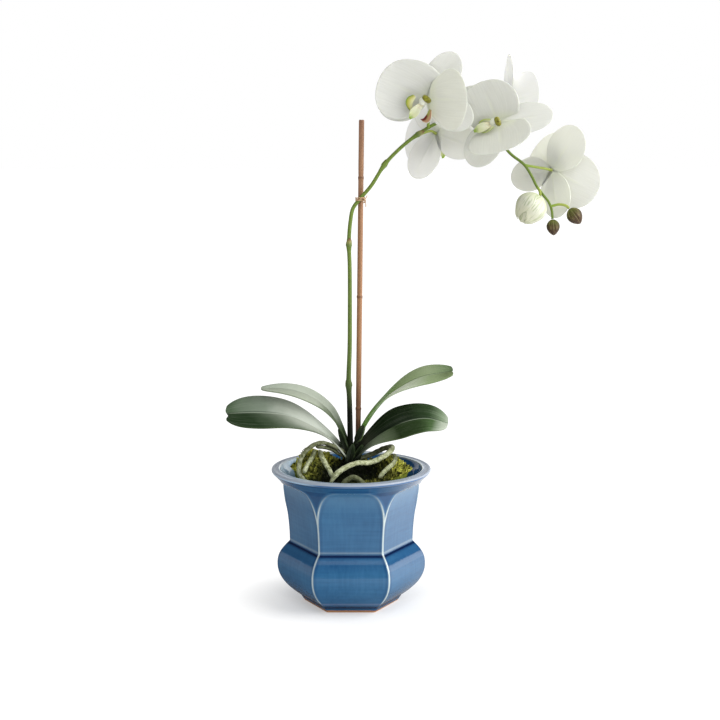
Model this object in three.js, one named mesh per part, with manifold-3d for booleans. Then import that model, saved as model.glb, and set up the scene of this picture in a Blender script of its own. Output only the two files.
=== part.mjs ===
// A moth orchid arranged in a six-sided glazed planter.
// Millimetres, +Z up, origin at the middle of the planter's foot, one flat side facing -Y.
// The planter stands alone. The liner pot lifts out of it with the foam, moss, roots and plant.
import * as THREE from "three";
import { mergeVertices } from "three/addons/utils/BufferGeometryUtils.js";
import Module from "manifold-3d";

const wasm = await Module();
wasm.setup();

// Fits
const GAP = 0.3;
const WELD = 1e-4;

// Planter: corner radii and the heights that stack up to the rim
const FOOT_RADIUS = 50.5;
const FOOT_HEIGHT = 6.2;
const BELT_START_RADIUS = 54.9;
const BELT_RADIUS = 80.4;
const BELT_RISE = 34.8;
const BELT_FALL = 25.5;
const WAIST_RADIUS = 66.7;
const NECK_HEIGHT = 64;
const NECK_RADIUS = 72.8;
const FLARE_HEIGHT = 12.4;
const FLARE_RADIUS = 84.2;
const LIP_HEIGHT = 3.75;
const RIM_RADIUS = 85;
const RIM_WIDTH = 9.3;
const WALL = 5.5;
const FLOOR = 9;
const ARCH_START_RISE = 26;
const ARCH_TOP_DROP = 11;

// Liner pot and foam
const LINER_CLEARANCE = 8;
const LINER_TAPER = 5;
const LINER_WALL = 1.4;
const LINER_LIP = 2.5;
const LINER_DEPTH_BELOW_RIM = 21;
const FOAM_DROP = 3;
const FOAM_FIT = 0.6;

// Moss
const MOSS_CLEARANCE = 3;
const MOSS_EDGE_DROP = 5;
const MOSS_FRONT_DROP = 2;
const MOSS_CROWN_HEIGHT = 13;
const MOSS_LEFT_HEIGHT = 22;
const MOSS_RIGHT_HEIGHT = 20;

// Crown, stem and stake
const CROWN_RADIUS = 6.5;
const CROWN_TOP = 24;
const STEM_BASE_RADIUS = 2.6;
const STEM_TIP_RADIUS = 1.3;
const STEM_NODE_SWELL = 0.9;
const STAKE_RADIUS = 2.8;
const STAKE_KNOT = 0.4;
const STAKE_TOP = 366;
const STAKE_DEPTH_IN_FOAM = 70;
const STAKE_LEAN = 0.011;
const TIE_HEIGHT = 5;
const TIE_THICKNESS = 1.1;
const TIE_SLACK = 1.6;
const PEDICEL_RADIUS = 1.5;

// Leaves
const LEAF_THICKNESS = 1.8;
const LEAF_BASE_SHARE = 0.26;

// Flowers
const PETAL_LENGTH = 54;
const PETAL_WIDTH = 58;
const SEPAL_LENGTH = 52;
const SEPAL_WIDTH = 37;
const PETAL_THICKNESS = 0.9;
const HUB_RADIUS = 5;
const COLUMN_RADIUS = 2.7;
const COLUMN_LENGTH = 10;
const LIP_LENGTH = 22;
const LIP_WIDTH = 11;

// Degrees round the flower, from its right, where two of its sepals lie
const TOP_SEPAL_ANGLE = 90;
const LEFT_SEPAL_ANGLE = 222;

// Buds
const SMALL_BUD_RADIUS = 7.5;
const SMALL_BUD_LENGTH = 19;
const OPENING_BUD_RADIUS = 15.5;
const OPENING_BUD_LENGTH = 34;

// Mesh steps
const ARC_STEPS = 3;
const BELT_STEPS = 7;
const NECK_STEPS = 11;
const STEM_STEPS = 36;

// Levels worked out from the sizes above
const SIXTH = Math.PI / 3;
const HALF_SIDE = Math.PI / 6;
const WAIST = FOOT_HEIGHT + BELT_RISE + BELT_FALL;
const FLARE_START = WAIST + NECK_HEIGHT;
const FLARE_TOP = FLARE_START + FLARE_HEIGHT;
const RIM_TOP = FLARE_TOP + LIP_HEIGHT;
const RIM_INNER_RADIUS = RIM_RADIUS - RIM_WIDTH;
const ARCH_START = WAIST + ARCH_START_RISE;
const ARCH_TOP = RIM_TOP - ARCH_TOP_DROP;
const WAIST_INNER_APOTHEM = WAIST_RADIUS * Math.cos(HALF_SIDE) - WALL;

// Places in the drop-in, whose heights count from the rim's top
const LINER_BOTTOM = FLOOR + GAP - RIM_TOP;
const LINER_TOP = -LINER_DEPTH_BELOW_RIM;
const LINER_RADIUS = WAIST_INNER_APOTHEM - LINER_CLEARANCE;
const FOAM_TOP = LINER_TOP - FOAM_DROP;
const MOSS_BOTTOM = LINER_TOP + GAP;
const CROWN_AXIS = new THREE.Vector2(-1, -6);
const STAKE_AXIS = new THREE.Vector2(7, 5);

const vec = (x, y, z) => new THREE.Vector3(x, y, z);
const lerp = THREE.MathUtils.lerp;

// Solids

// Joins points that coincide, drops the triangles that this closes up and turns the faces out.
function closedGeometry(points, triangles) {
  const raw = new THREE.BufferGeometry();
  raw.setAttribute("position", new THREE.Float32BufferAttribute(points.flatMap((p) => [p.x, p.y, p.z]), 3));
  raw.setIndex(triangles.flat());
  const merged = mergeVertices(raw, WELD);
  const index = merged.index.array;
  const kept = [];
  for (let i = 0; i < index.length; i += 3) {
    const [a, b, c] = [index[i], index[i + 1], index[i + 2]];
    if (a !== b && b !== c && c !== a) kept.push(a, b, c);
  }
  if (signedVolume(merged.attributes.position, kept) < 0) kept.reverse();
  merged.setIndex(kept);
  return merged;
}

function signedVolume(position, index) {
  const [a, b, c] = [vec(0, 0, 0), vec(0, 0, 0), vec(0, 0, 0)];
  let sum = 0;
  for (let i = 0; i < index.length; i += 3) {
    a.fromBufferAttribute(position, index[i]);
    b.fromBufferAttribute(position, index[i + 1]);
    c.fromBufferAttribute(position, index[i + 2]);
    sum += a.dot(b.cross(c)) / 6;
  }
  return sum;
}

// A closed solid through a stack of rings with equal numbers of points, capped at both ends.
function loft(rings) {
  const count = rings[0].length;
  const points = rings.flat();
  const triangles = [];
  for (let row = 0; row + 1 < rings.length; row += 1) {
    for (let i = 0; i < count; i += 1) {
      const a = row * count + i;
      const b = row * count + ((i + 1) % count);
      triangles.push([a, b, b + count], [a, b + count, a + count]);
    }
  }
  const lastRow = (rings.length - 1) * count;
  const firstCentre = points.push(middleOf(rings[0])) - 1;
  const lastCentre = points.push(middleOf(rings[rings.length - 1])) - 1;
  for (let i = 0; i < count; i += 1) {
    const next = (i + 1) % count;
    triangles.push([firstCentre, next, i], [lastCentre, lastRow + i, lastRow + next]);
  }
  return closedGeometry(points, triangles);
}

function middleOf(ring) {
  const sum = ring.reduce((total, point) => total.add(point), vec(0, 0, 0));
  return sum.divideScalar(ring.length);
}

function toSolid(geometry) {
  const bare = geometry.clone();
  bare.deleteAttribute("normal");
  bare.deleteAttribute("uv");
  const merged = mergeVertices(bare, WELD);
  return new wasm.Manifold(new wasm.Mesh({
    numProp: 3,
    vertProperties: new Float32Array(merged.attributes.position.array),
    triVerts: new Uint32Array(merged.index.array),
  }));
}

function toGeometry(solid) {
  const mesh = solid.getMesh();
  const geometry = new THREE.BufferGeometry();
  geometry.setAttribute("position", new THREE.BufferAttribute(new Float32Array(mesh.vertProperties), 3));
  geometry.setIndex(new THREE.BufferAttribute(new Uint32Array(mesh.triVerts), 1));
  return geometry;
}

function join(geometries) {
  const solids = geometries.map(toSolid);
  return toGeometry(solids.reduce((whole, solid) => whole.add(solid)));
}

// Cuts neighbours out of a piece. Scraps that the cut leaves behind are dropped.
function cutAway(geometry, neighbours) {
  const cut = neighbours.reduce((left, neighbour) => left.subtract(toSolid(neighbour)), toSolid(geometry));
  const bodies = cut.decompose();
  return toGeometry(bodies.reduce((best, body) => (body.volume() > best.volume() ? body : best)));
}

// A round rod along a curve; the radius may change along the way.
function rod(curve, steps, sides, radiusAt) {
  const frames = curve.computeFrenetFrames(steps, false);
  const rings = [];
  for (let step = 0; step <= steps; step += 1) {
    const centre = curve.getPointAt(step / steps);
    const radius = radiusAt(step / steps);
    const ring = [];
    for (let i = 0; i < sides; i += 1) {
      const turn = (2 * Math.PI * i) / sides;
      const point = centre.clone();
      point.addScaledVector(frames.normals[step], radius * Math.cos(turn));
      point.addScaledVector(frames.binormals[step], radius * Math.sin(turn));
      ring.push(point);
    }
    rings.push(ring);
  }
  return loft(rings);
}

// A constant section swept along a curve, for roots and flower stalks.
function tube(points, radiusX, radiusY, steps, sides) {
  const outline = [];
  for (let i = 0; i < sides; i += 1) {
    const turn = (2 * Math.PI * i) / sides;
    outline.push(new THREE.Vector2(radiusX * Math.cos(turn), radiusY * Math.sin(turn)));
  }
  const path = new THREE.CatmullRomCurve3(points);
  return new THREE.ExtrudeGeometry(new THREE.Shape(outline), { steps, extrudePath: path, curveSegments: 1 });
}

// Turned shapes stand on +Z instead of three.js's +Y.
function turned(profile, segments) {
  const geometry = new THREE.LatheGeometry(profile.map(([r, z]) => new THREE.Vector2(r, z)), segments);
  return geometry.rotateX(Math.PI / 2);
}

// Planter

// Outer outline as corner radius against height, from the foot to the rim.
function planterOutline() {
  const peak = FOOT_HEIGHT + BELT_RISE;
  const point = (radius, height) => new THREE.Vector2(radius, height);
  const lowerBelt = new THREE.CubicBezierCurve(
    point(BELT_START_RADIUS, FOOT_HEIGHT),
    point(lerp(BELT_START_RADIUS, BELT_RADIUS, 0.66), lerp(FOOT_HEIGHT, peak, 0.31)),
    point(BELT_RADIUS, lerp(FOOT_HEIGHT, peak, 0.62)),
    point(BELT_RADIUS, peak),
  );
  const upperBelt = new THREE.CubicBezierCurve(
    point(BELT_RADIUS, peak),
    point(BELT_RADIUS, lerp(peak, WAIST, 0.43)),
    point(lerp(WAIST_RADIUS, BELT_RADIUS, 0.72), lerp(peak, WAIST, 0.62)),
    point(WAIST_RADIUS, WAIST),
  );
  const neck = new THREE.CubicBezierCurve(
    point(WAIST_RADIUS, WAIST),
    point(WAIST_RADIUS, lerp(WAIST, FLARE_START, 0.34)),
    point(lerp(WAIST_RADIUS, NECK_RADIUS, 0.62), lerp(WAIST, FLARE_START, 0.6)),
    point(NECK_RADIUS, FLARE_START),
  );
  const flare = new THREE.QuadraticBezierCurve(
    point(NECK_RADIUS, FLARE_START),
    point(lerp(NECK_RADIUS, FLARE_RADIUS, 0.3), lerp(FLARE_START, FLARE_TOP, 0.34)),
    point(FLARE_RADIUS, FLARE_TOP),
  );
  const lip = new THREE.CubicBezierCurve(
    point(FLARE_RADIUS, FLARE_TOP),
    point(lerp(FLARE_RADIUS, RIM_RADIUS, 1.4), lerp(FLARE_TOP, RIM_TOP, 0.35)),
    point(lerp(FLARE_RADIUS, RIM_RADIUS, 1.2), RIM_TOP),
    point(RIM_RADIUS - LIP_HEIGHT / 2, RIM_TOP),
  );
  return [
    point(FOOT_RADIUS, 0),
    ...lowerBelt.getPoints(BELT_STEPS),
    ...upperBelt.getPoints(BELT_STEPS).slice(1),
    ...neck.getPoints(NECK_STEPS).slice(1),
    ...flare.getPoints(4).slice(1),
    ...lip.getPoints(4).slice(1),
  ];
}

// Half the angle that a side's flat panel takes up: a whole side low down, closing in an arch above.
function panelHalfAngle(height) {
  if (height <= ARCH_START) return HALF_SIDE;
  const up = (height - ARCH_START) / (ARCH_TOP - ARCH_START);
  if (up >= 1) return 0;
  return Math.asin(Math.sin(HALF_SIDE) * (1 - up ** 2) ** 0.25);
}

// One level of the planter: six flat stretches with a round stretch between each two.
function planterRing(radius, height, halfAngle) {
  const ring = [];
  for (let side = 0; side < 6; side += 1) {
    const facing = side * SIXTH - Math.PI / 2;
    for (let step = 0; step <= 2 * ARC_STEPS; step += 1) {
      const whole = halfAngle === HALF_SIDE;
      const arc = whole ? 0 : (SIXTH - 2 * halfAngle) * (step / (2 * ARC_STEPS));
      const angle = facing + halfAngle + arc;
      ring.push(vec(radius * Math.cos(angle), radius * Math.sin(angle), height));
    }
  }
  return ring;
}

// The cavity follows the outside one wall in, and opens to the rim's inner edge.
function cavityRadius(outer, height) {
  const offset = outer - WALL / Math.cos(panelHalfAngle(height));
  const up = THREE.MathUtils.clamp((height - FLARE_START) / (RIM_TOP - FLARE_START), 0, 1);
  const opening = lerp(NECK_RADIUS - WALL, RIM_INNER_RADIUS, up);
  return height > FLARE_START ? opening : offset;
}

function planter() {
  const outline = planterOutline();
  const outside = outline.map(({ x, y }) => planterRing(x, y, panelHalfAngle(y)));
  const cavity = outline.filter(({ y }) => y > FLOOR && y < FLARE_TOP);
  const inside = cavity.map(({ x, y }) => planterRing(cavityRadius(x, y), y, panelHalfAngle(y)));
  const edge = planterRing(RIM_INNER_RADIUS, RIM_TOP - GAP, 0);
  const brim = planterRing(RIM_INNER_RADIUS + GAP, RIM_TOP, 0);
  const floor = planterRing(cavityRadius(cavity[0].x, FLOOR), FLOOR, HALF_SIDE);
  return loft([...outside, brim, edge, ...inside.reverse(), floor]);
}

// Liner pot, foam and moss

function linerRadiusAt(height) {
  return lerp(LINER_RADIUS - LINER_TAPER, LINER_RADIUS, (height - LINER_BOTTOM) / (LINER_TOP - LINER_BOTTOM));
}

function linerPot() {
  const floor = LINER_BOTTOM + LINER_WALL;
  const lipBottom = LINER_TOP - LINER_LIP;
  return turned([
    [0, LINER_BOTTOM],
    [linerRadiusAt(LINER_BOTTOM), LINER_BOTTOM],
    [linerRadiusAt(lipBottom), lipBottom],
    [linerRadiusAt(lipBottom) + LINER_WALL, lipBottom],
    [linerRadiusAt(LINER_TOP) + LINER_WALL, LINER_TOP],
    [linerRadiusAt(LINER_TOP) - LINER_WALL, LINER_TOP],
    [linerRadiusAt(floor) - LINER_WALL, floor],
    [0, floor],
  ], 24);
}

function foamPlug() {
  const bottom = LINER_BOTTOM + LINER_WALL + GAP;
  const inset = LINER_WALL + FOAM_FIT;
  const plug = turned([
    [0, bottom],
    [linerRadiusAt(bottom) - inset, bottom],
    [linerRadiusAt(FOAM_TOP) - inset, FOAM_TOP],
    [0, FOAM_TOP],
  ], 24);
  return cutAway(plug, [stake(GAP)]);
}

// A soft round hump in the moss; its reach across and along says how fast it falls away.
const hump = (x, y, reachX, reachY) => Math.exp(-((x / reachX) ** 2 + (y / reachY) ** 2) / 2);

function mossHeight(x, y) {
  const front = MOSS_FRONT_DROP * hump(x, y + 60, 40, 14);
  const middle = MOSS_CROWN_HEIGHT * hump(x, y + 2, 20, 16);
  const left = MOSS_LEFT_HEIGHT * hump(x + 44, y + 10, 9, 15);
  const right = MOSS_RIGHT_HEIGHT * hump(x - 47, y + 8, 11, 17);
  return middle + left + right - front - MOSS_EDGE_DROP;
}

// The cavity's least reach at a height, on the flat of its panels.
function cavityApothem(height) {
  const outline = planterOutline();
  const above = outline.findIndex(({ y }) => y >= height);
  const [low, high] = [outline[above - 1], outline[above]];
  const outer = lerp(low.x, high.x, (height - low.y) / (high.y - low.y));
  return cavityRadius(outer, height) * Math.cos(panelHalfAngle(height));
}

function moss(grow = 0) {
  const rows = 7;
  const columns = 24;
  const ringAt = (radius, heightAt) => {
    const ring = [];
    for (let i = 0; i < columns; i += 1) {
      const angle = (2 * Math.PI * i) / columns;
      const [x, y] = [radius * Math.cos(angle), radius * Math.sin(angle)];
      ring.push(vec(x, y, heightAt(x, y)));
    }
    return ring;
  };
  const reach = (height) => cavityApothem(RIM_TOP + height) - MOSS_CLEARANCE + grow;
  const edge = -2 * MOSS_EDGE_DROP;
  const rings = [
    ringAt(LINER_RADIUS, () => MOSS_BOTTOM),
    ringAt(reach(MOSS_BOTTOM), () => lerp(MOSS_BOTTOM, edge, 0.35)),
    ringAt(reach(edge), () => edge),
  ];
  for (let row = 0; row < rows; row += 1) {
    const radius = (reach(edge) - 1) * Math.sqrt(1 - row / rows);
    rings.push(ringAt(radius, (x, y) => mossHeight(x, y) + grow));
  }
  return loft(rings);
}

// Crown and roots

function crown(grow = 0) {
  const bottom = FOAM_TOP + GAP - grow;
  const top = CROWN_TOP + grow;
  const stub = turned([
    [0, bottom],
    [CROWN_RADIUS * 0.8 + grow, bottom],
    [CROWN_RADIUS + grow, lerp(bottom, top, 0.45)],
    [CROWN_RADIUS * 0.9 + grow, lerp(bottom, top, 0.85)],
    [CROWN_RADIUS * 0.6 + grow, top],
    [0, top],
  ], 14);
  return stub.translate(CROWN_AXIS.x, CROWN_AXIS.y, 0);
}

// Each root is a flattened tube; its points run from the crown, or from the root it branches off.
const ROOTS = [
  {
    name: "root_left_arch", radius: 3.6, steps: 14,
    points: [[-3, -6, 16], [-11, -8, 20], [-20, -13, 28], [-30, -18, 33], [-41, -24, 31], [-51, -30, 22],
      [-54, -34, 10], [-53, -37, -1], [-45, -41, -7]],
  },
  {
    name: "root_left_inner", radius: 3.2, steps: 7,
    points: [[-3, -7, 12], [-12, -7, 15], [-20, -10, 21], [-30, -16, 25], [-37, -20, 26]],
  },
  {
    name: "root_left_prop", radius: 3.4, steps: 6,
    points: [[-38, -27, 24], [-40, -31, 18], [-45, -35, 11], [-49, -42, 3]],
  },
  {
    name: "root_left_drop", radius: 3.5, steps: 7,
    points: [[-33, -25, 23], [-31, -32, 19], [-27, -39, 13], [-22, -45, 6], [-18, -49, -1]],
  },
  {
    name: "root_right_loop", radius: 3.8, steps: 22,
    points: [[0, -6, 8], [12, -3, 11], [24, -1, 15], [35, -4, 21], [43, -11, 24], [41, -20, 21],
      [30, -28, 15], [19, -34, 12], [7, -40, 13], [-5, -47, 10], [-14, -52, 5], [-21, -57, -4]],
  },
  {
    name: "root_right_drop", radius: 3.2, steps: 7,
    points: [[46, -20, 18], [46, -27, 13], [42, -33, 9], [35, -39, 4], [29, -44, -2]],
  },
  {
    name: "root_front_low", radius: 3.6, steps: 7,
    points: [[-9, -60, -5], [-4, -59, 1], [2, -59, 4], [8, -60, 2], [14, -61, -5]],
  },
];

function rootTube({ points, radius, steps }, grow = 0) {
  const path = points.map(([x, y, z]) => vec(x, y, z));
  return tube(path, radius + grow, radius * 0.8 + grow, steps, 8);
}

// Stem, stake and tie

// The flower stem's centre line: up the stake, over the tie and down in an arch to the last bud.
const STEM_POINTS = [
  [-0.8, -5, CROWN_TOP + GAP], [-1.7, -4.5, 72], [-2.5, -4, 94], [-1.4, -4, 130], [-1.2, -4, 175],
  [-1.4, -3.5, 215], [-2.2, -3, 240], [-0.6, -2, 262], [2.1, -1.6, 275], [9, -1.4, 284.5], [20.6, -3, 298],
  [35.4, -5, 321], [52, -6, 338], [66, -6, 349], [92, -3, 364], [113, 1, 368], [133, 4, 363],
  [151, 6, 348], [166, 6, 331], [180, 5, 320], [188, 3, 308], [193, 2, 298], [199, 1, 290],
  [206, 0, 281], [209, 0, 273], [210, 0, 266],
];
const STEM_CURVE = new THREE.CatmullRomCurve3(STEM_POINTS.map(([x, y, z]) => vec(x, y, z)));

// Shares of the stem's length where it has a node with a small bract.
const STEM_NODES = [0.117, 0.385, 0.555, 0.64];

function stem(grow = 0) {
  const radiusAt = (t) => {
    const bare = lerp(STEM_BASE_RADIUS, STEM_TIP_RADIUS, t);
    const swell = STEM_NODES.reduce((sum, node) => sum + Math.exp(-(((t - node) / 0.012) ** 2)), 0);
    return bare + STEM_NODE_SWELL * swell + grow;
  };
  return rod(STEM_CURVE, STEM_STEPS, 8, radiusAt);
}

function stakeX(height) {
  return STAKE_AXIS.x + STAKE_LEAN * height;
}

function stake(grow = 0) {
  const bottom = FOAM_TOP - STAKE_DEPTH_IN_FOAM;
  const knots = [0.34, 0.6, 0.87];
  const profile = [[0, bottom - grow], [STAKE_RADIUS + grow, bottom - grow]];
  for (const share of knots) {
    const height = lerp(bottom, STAKE_TOP, share);
    profile.push([STAKE_RADIUS + grow, height - 2]);
    profile.push([STAKE_RADIUS + STAKE_KNOT + grow, height]);
    profile.push([STAKE_RADIUS + grow, height + 2]);
  }
  profile.push([STAKE_RADIUS + grow, STAKE_TOP + grow], [0, STAKE_TOP + grow]);
  const cane = turned(profile, 10);
  cane.rotateY(Math.atan(STAKE_LEAN));
  return cane.translate(STAKE_AXIS.x, STAKE_AXIS.y, 0);
}

// A band round the stem and the stake, drawn in to both.
const TIE_POINT = STEM_POINTS[9];

function stakeTie() {
  const [stemX, stemY, height] = TIE_POINT;
  const middle = vec((stemX + stakeX(height)) / 2, (stemY + STAKE_AXIS.y) / 2, height);
  const halfWidth = Math.max(STAKE_RADIUS, STEM_BASE_RADIUS) + TIE_THICKNESS + TIE_SLACK;
  const halfDepth = (STAKE_AXIS.y - stemY + STAKE_RADIUS + STEM_BASE_RADIUS) / 2 + TIE_THICKNESS;
  const outline = new THREE.Shape();
  outline.absellipse(0, 0, halfWidth, halfDepth, 0, 2 * Math.PI);
  const extrusion = { depth: TIE_HEIGHT, bevelEnabled: false, curveSegments: 8 };
  const band = new THREE.ExtrudeGeometry(outline, extrusion);
  band.translate(middle.x, middle.y, middle.z - TIE_HEIGHT / 2);
  return cutAway(band, [stem(GAP), stake(GAP)]);
}

// Leaves

// A blade's points run from the crown to its tip. Its upper side looks along baseFace where it
// starts and along face after it has opened. A lower tipPower gives a more pointed tip.
const LEAVES = [
  {
    name: "leaf_lower_left", width: 50, broadest: 0.74, tipPower: 2.4, fold: 0.1, opens: [0, 0.6],
    baseFace: [0.5, -0.3, 0.8], face: [0, -0.64, 0.76],
    points: [[-4, -9, 9], [-22, -5, 31], [-45, -3, 47], [-68, -1, 56], [-98, 0, 59], [-134, 0, 58]],
  },
  {
    name: "leaf_upper_left", width: 34, broadest: 0.56, tipPower: 1.5, fold: 0.12, opens: [0, 0.6],
    baseFace: [0.7, -0.1, 0.7], face: [-0.1, -0.28, 0.95],
    points: [[-3, -5, 15], [-14, 0, 45], [-27, 4, 64], [-48, 6, 77], [-70, 6, 83], [-96, 5, 84]],
  },
  {
    name: "leaf_upper_right", width: 40, broadest: 0.78, tipPower: 2.4, fold: 0.12, opens: [0.3, 0.85],
    baseFace: [-0.9, 0.1, 0.5], face: [-0.25, -0.36, 0.9],
    points: [[2, -4, 15], [15, 0, 45], [31, 2, 68], [50, 4, 84], [74, 5, 96], [107, 4, 102]],
  },
  {
    name: "leaf_lower_right", width: 47, broadest: 0.55, tipPower: 2.4, fold: 0.12, opens: [0, 0.6],
    baseFace: [-0.6, -0.3, 0.7], face: [0, -0.64, 0.76],
    points: [[2, -10, 9], [18, -7, 28], [38, -5, 43], [58, -3, 50], [80, -1, 51], [103, 0, 45]],
  },
  {
    name: "leaf_young", width: 13, broadest: 0.4, tipPower: 2.4, fold: 0.3, opens: [0, 0.6],
    baseFace: [-0.9, -0.2, 0.3], face: [-0.6, -0.5, 0.6],
    points: [[4, -9, 22], [8, -8, 31], [11, -7, 39], [14, -6, 46]],
  },
];

function leafHalfWidth(width, broadest, tipPower, t) {
  const swell = THREE.MathUtils.smoothstep(t, 0.12, broadest);
  const past = Math.max(0, (t - broadest) / (1.01 - broadest));
  return (width / 2) * lerp(LEAF_BASE_SHARE, 1, swell) * Math.sqrt(1 - past ** tipPower);
}

function leaf({ points, width, broadest, tipPower, face, baseFace, opens, fold }, grow = 0) {
  const rows = 10;
  const across = [-1, -0.5, 0, 0.5, 1];
  const curve = new THREE.CatmullRomCurve3(points.map(([x, y, z]) => vec(x, y, z)));
  const rings = [];
  for (let row = 0; row <= rows; row += 1) {
    const t = row / rows;
    const centre = curve.getPointAt(t);
    const tangent = curve.getTangentAt(t);
    const looking = vec(...baseFace).lerp(vec(...face), THREE.MathUtils.smoothstep(t, ...opens));
    const side = tangent.clone().cross(looking).normalize();
    const up = side.clone().cross(tangent).normalize();
    const half = leafHalfWidth(width, broadest, tipPower, t) + grow;
    const tilt = lerp(0.9, fold, THREE.MathUtils.smoothstep(t, 0, 0.5));
    const place = (s, lift) => {
      const point = centre.clone().addScaledVector(side, s * half * Math.cos(tilt));
      return point.addScaledVector(up, Math.abs(s) * half * Math.sin(tilt) + lift);
    };
    const halfThickness = (s) => (LEAF_THICKNESS / 2) * (1 - 0.5 * s ** 2) + grow;
    const top = across.map((s) => place(s, halfThickness(s)));
    const under = across.map((s) => place(s, -halfThickness(s))).reverse();
    rings.push([...top, ...under]);
  }
  return loft(rings);
}

// Flowers

// One petal or sepal lies along an angle in the flower's own plane, with +Z the way the flower looks.
// It is flat on the hub; beyond that its cup angle lifts it forward.
function lobe({ length, width, angle, fullness, cup }, offset) {
  const rows = 6;
  const across = [-1, -0.4, 0.4, 1];
  const hubShare = HUB_RADIUS / length;
  const ringAt = (t) => {
    const claw = HUB_RADIUS * 0.7 * (1 - t);
    const half = claw + (width / 2) * Math.sin(Math.PI * t ** 1.05) ** fullness;
    const beyond = Math.max(0, t - hubShare) * length;
    const reach = Math.min(t, hubShare) * length + beyond * Math.cos(cup);
    const lifted = offset + beyond * Math.sin(cup);
    const place = (s, lift) => {
      const x = reach * Math.cos(angle) - s * half * Math.sin(angle);
      const y = reach * Math.sin(angle) + s * half * Math.cos(angle);
      return vec(x, y, lifted + lift);
    };
    const halfThickness = (s) => (PETAL_THICKNESS / 2) * (1 - 0.4 * s ** 2);
    const top = across.map((s) => place(s, halfThickness(s)));
    const under = across.map((s) => place(s, -halfThickness(s))).reverse();
    return [...top, ...under];
  };
  const rings = [ringAt(0)];
  for (let row = 0; row <= rows; row += 1) {
    rings.push(ringAt(lerp(hubShare, 0.992, Math.sin((Math.PI / 2) * (row / rows)))));
  }
  return loft(rings);
}

function hubDisc(offset) {
  const disc = new THREE.CylinderGeometry(HUB_RADIUS, HUB_RADIUS, PETAL_THICKNESS, 10);
  return disc.rotateX(Math.PI / 2).translate(0, 0, offset);
}

const degrees = THREE.MathUtils.degToRad;

function sepals({ turn, topCup, sideCup, rightSepal }) {
  const shape = { length: SEPAL_LENGTH, width: SEPAL_WIDTH, fullness: 0.75 };
  const places = [[TOP_SEPAL_ANGLE, topCup], [LEFT_SEPAL_ANGLE, sideCup], [rightSepal, sideCup]];
  const lobes = places.map(([angle, cup]) => {
    return lobe({ ...shape, angle: degrees(angle + turn), cup: degrees(cup) }, 0);
  });
  return join([...lobes, hubDisc(0)]);
}

function petals({ petalRise, petalCup }) {
  const offset = PETAL_THICKNESS + GAP;
  const shape = { length: PETAL_LENGTH, width: PETAL_WIDTH, fullness: 0.6, cup: degrees(petalCup) };
  const lobes = [petalRise, 180 - petalRise].map((angle) => {
    return lobe({ ...shape, angle: degrees(angle) }, offset);
  });
  return join([...lobes, hubDisc(offset)]);
}

// Front face of the petals' hub, where the column and the lip stand.
const HUB_FRONT = PETAL_THICKNESS * 1.5 + 2 * GAP;

function column({ lipTurn }) {
  const top = HUB_FRONT + COLUMN_LENGTH;
  const post = turned([
    [0, HUB_FRONT],
    [COLUMN_RADIUS * 0.8, HUB_FRONT],
    [COLUMN_RADIUS, lerp(HUB_FRONT, top, 0.4)],
    [COLUMN_RADIUS, lerp(HUB_FRONT, top, 0.75)],
    [COLUMN_RADIUS * 0.7, lerp(HUB_FRONT, top, 0.95)],
    [0, top],
  ], 8);
  return post.translate(0, HUB_RADIUS - COLUMN_RADIUS - 1, 0).rotateZ(degrees(lipTurn));
}

// The lip: a tongue that leaves the hub forwards and turns down, with an upright ear on each side.
function lip({ lipTurn }) {
  const neckHeight = -COLUMN_RADIUS - 0.8;
  const root = HUB_FRONT + LIP_LENGTH * 0.02;
  const curve = new THREE.CatmullRomCurve3([
    vec(0, neckHeight, root),
    vec(0, neckHeight - 2, HUB_FRONT + LIP_LENGTH * 0.2),
    vec(0, neckHeight - LIP_LENGTH * 0.35, HUB_FRONT + LIP_LENGTH * 0.42),
    vec(0, neckHeight - LIP_LENGTH * 0.7, HUB_FRONT + LIP_LENGTH * 0.42),
    vec(0, neckHeight - LIP_LENGTH, HUB_FRONT + LIP_LENGTH * 0.25),
  ]);
  const steps = 7;
  const sides = 6;
  const rings = [];
  for (let step = 0; step <= steps; step += 1) {
    const t = step / steps;
    const centre = curve.getPointAt(t);
    const tangent = curve.getTangentAt(t);
    const up = vec(1, 0, 0).cross(tangent).normalize();
    const half = (LIP_WIDTH / 2) * lerp(0.25, 1, Math.sin(Math.PI * Math.min(1, t ** 0.8 * 0.93)));
    const thick = lerp(1.3, 0.8, t);
    const ring = [];
    for (let i = 0; i < sides; i += 1) {
      const turn = (2 * Math.PI * i) / sides;
      const point = centre.clone().add(vec(half * Math.cos(turn), 0, 0));
      ring.push(point.addScaledVector(up, thick * Math.sin(turn)));
    }
    rings.push(ring);
  }
  const ears = [-1, 1].map((side) => {
    const ear = new THREE.SphereGeometry(1, 7, 5);
    ear.scale(1.8, LIP_LENGTH * 0.32, LIP_LENGTH * 0.2);
    ear.rotateZ(-side * 0.35);
    return ear.translate(side * LIP_WIDTH * 0.42, neckHeight + 1, HUB_FRONT + LIP_LENGTH * 0.28);
  });
  return join([loft(rings), ...ears]).rotateZ(degrees(lipTurn));
}

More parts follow.
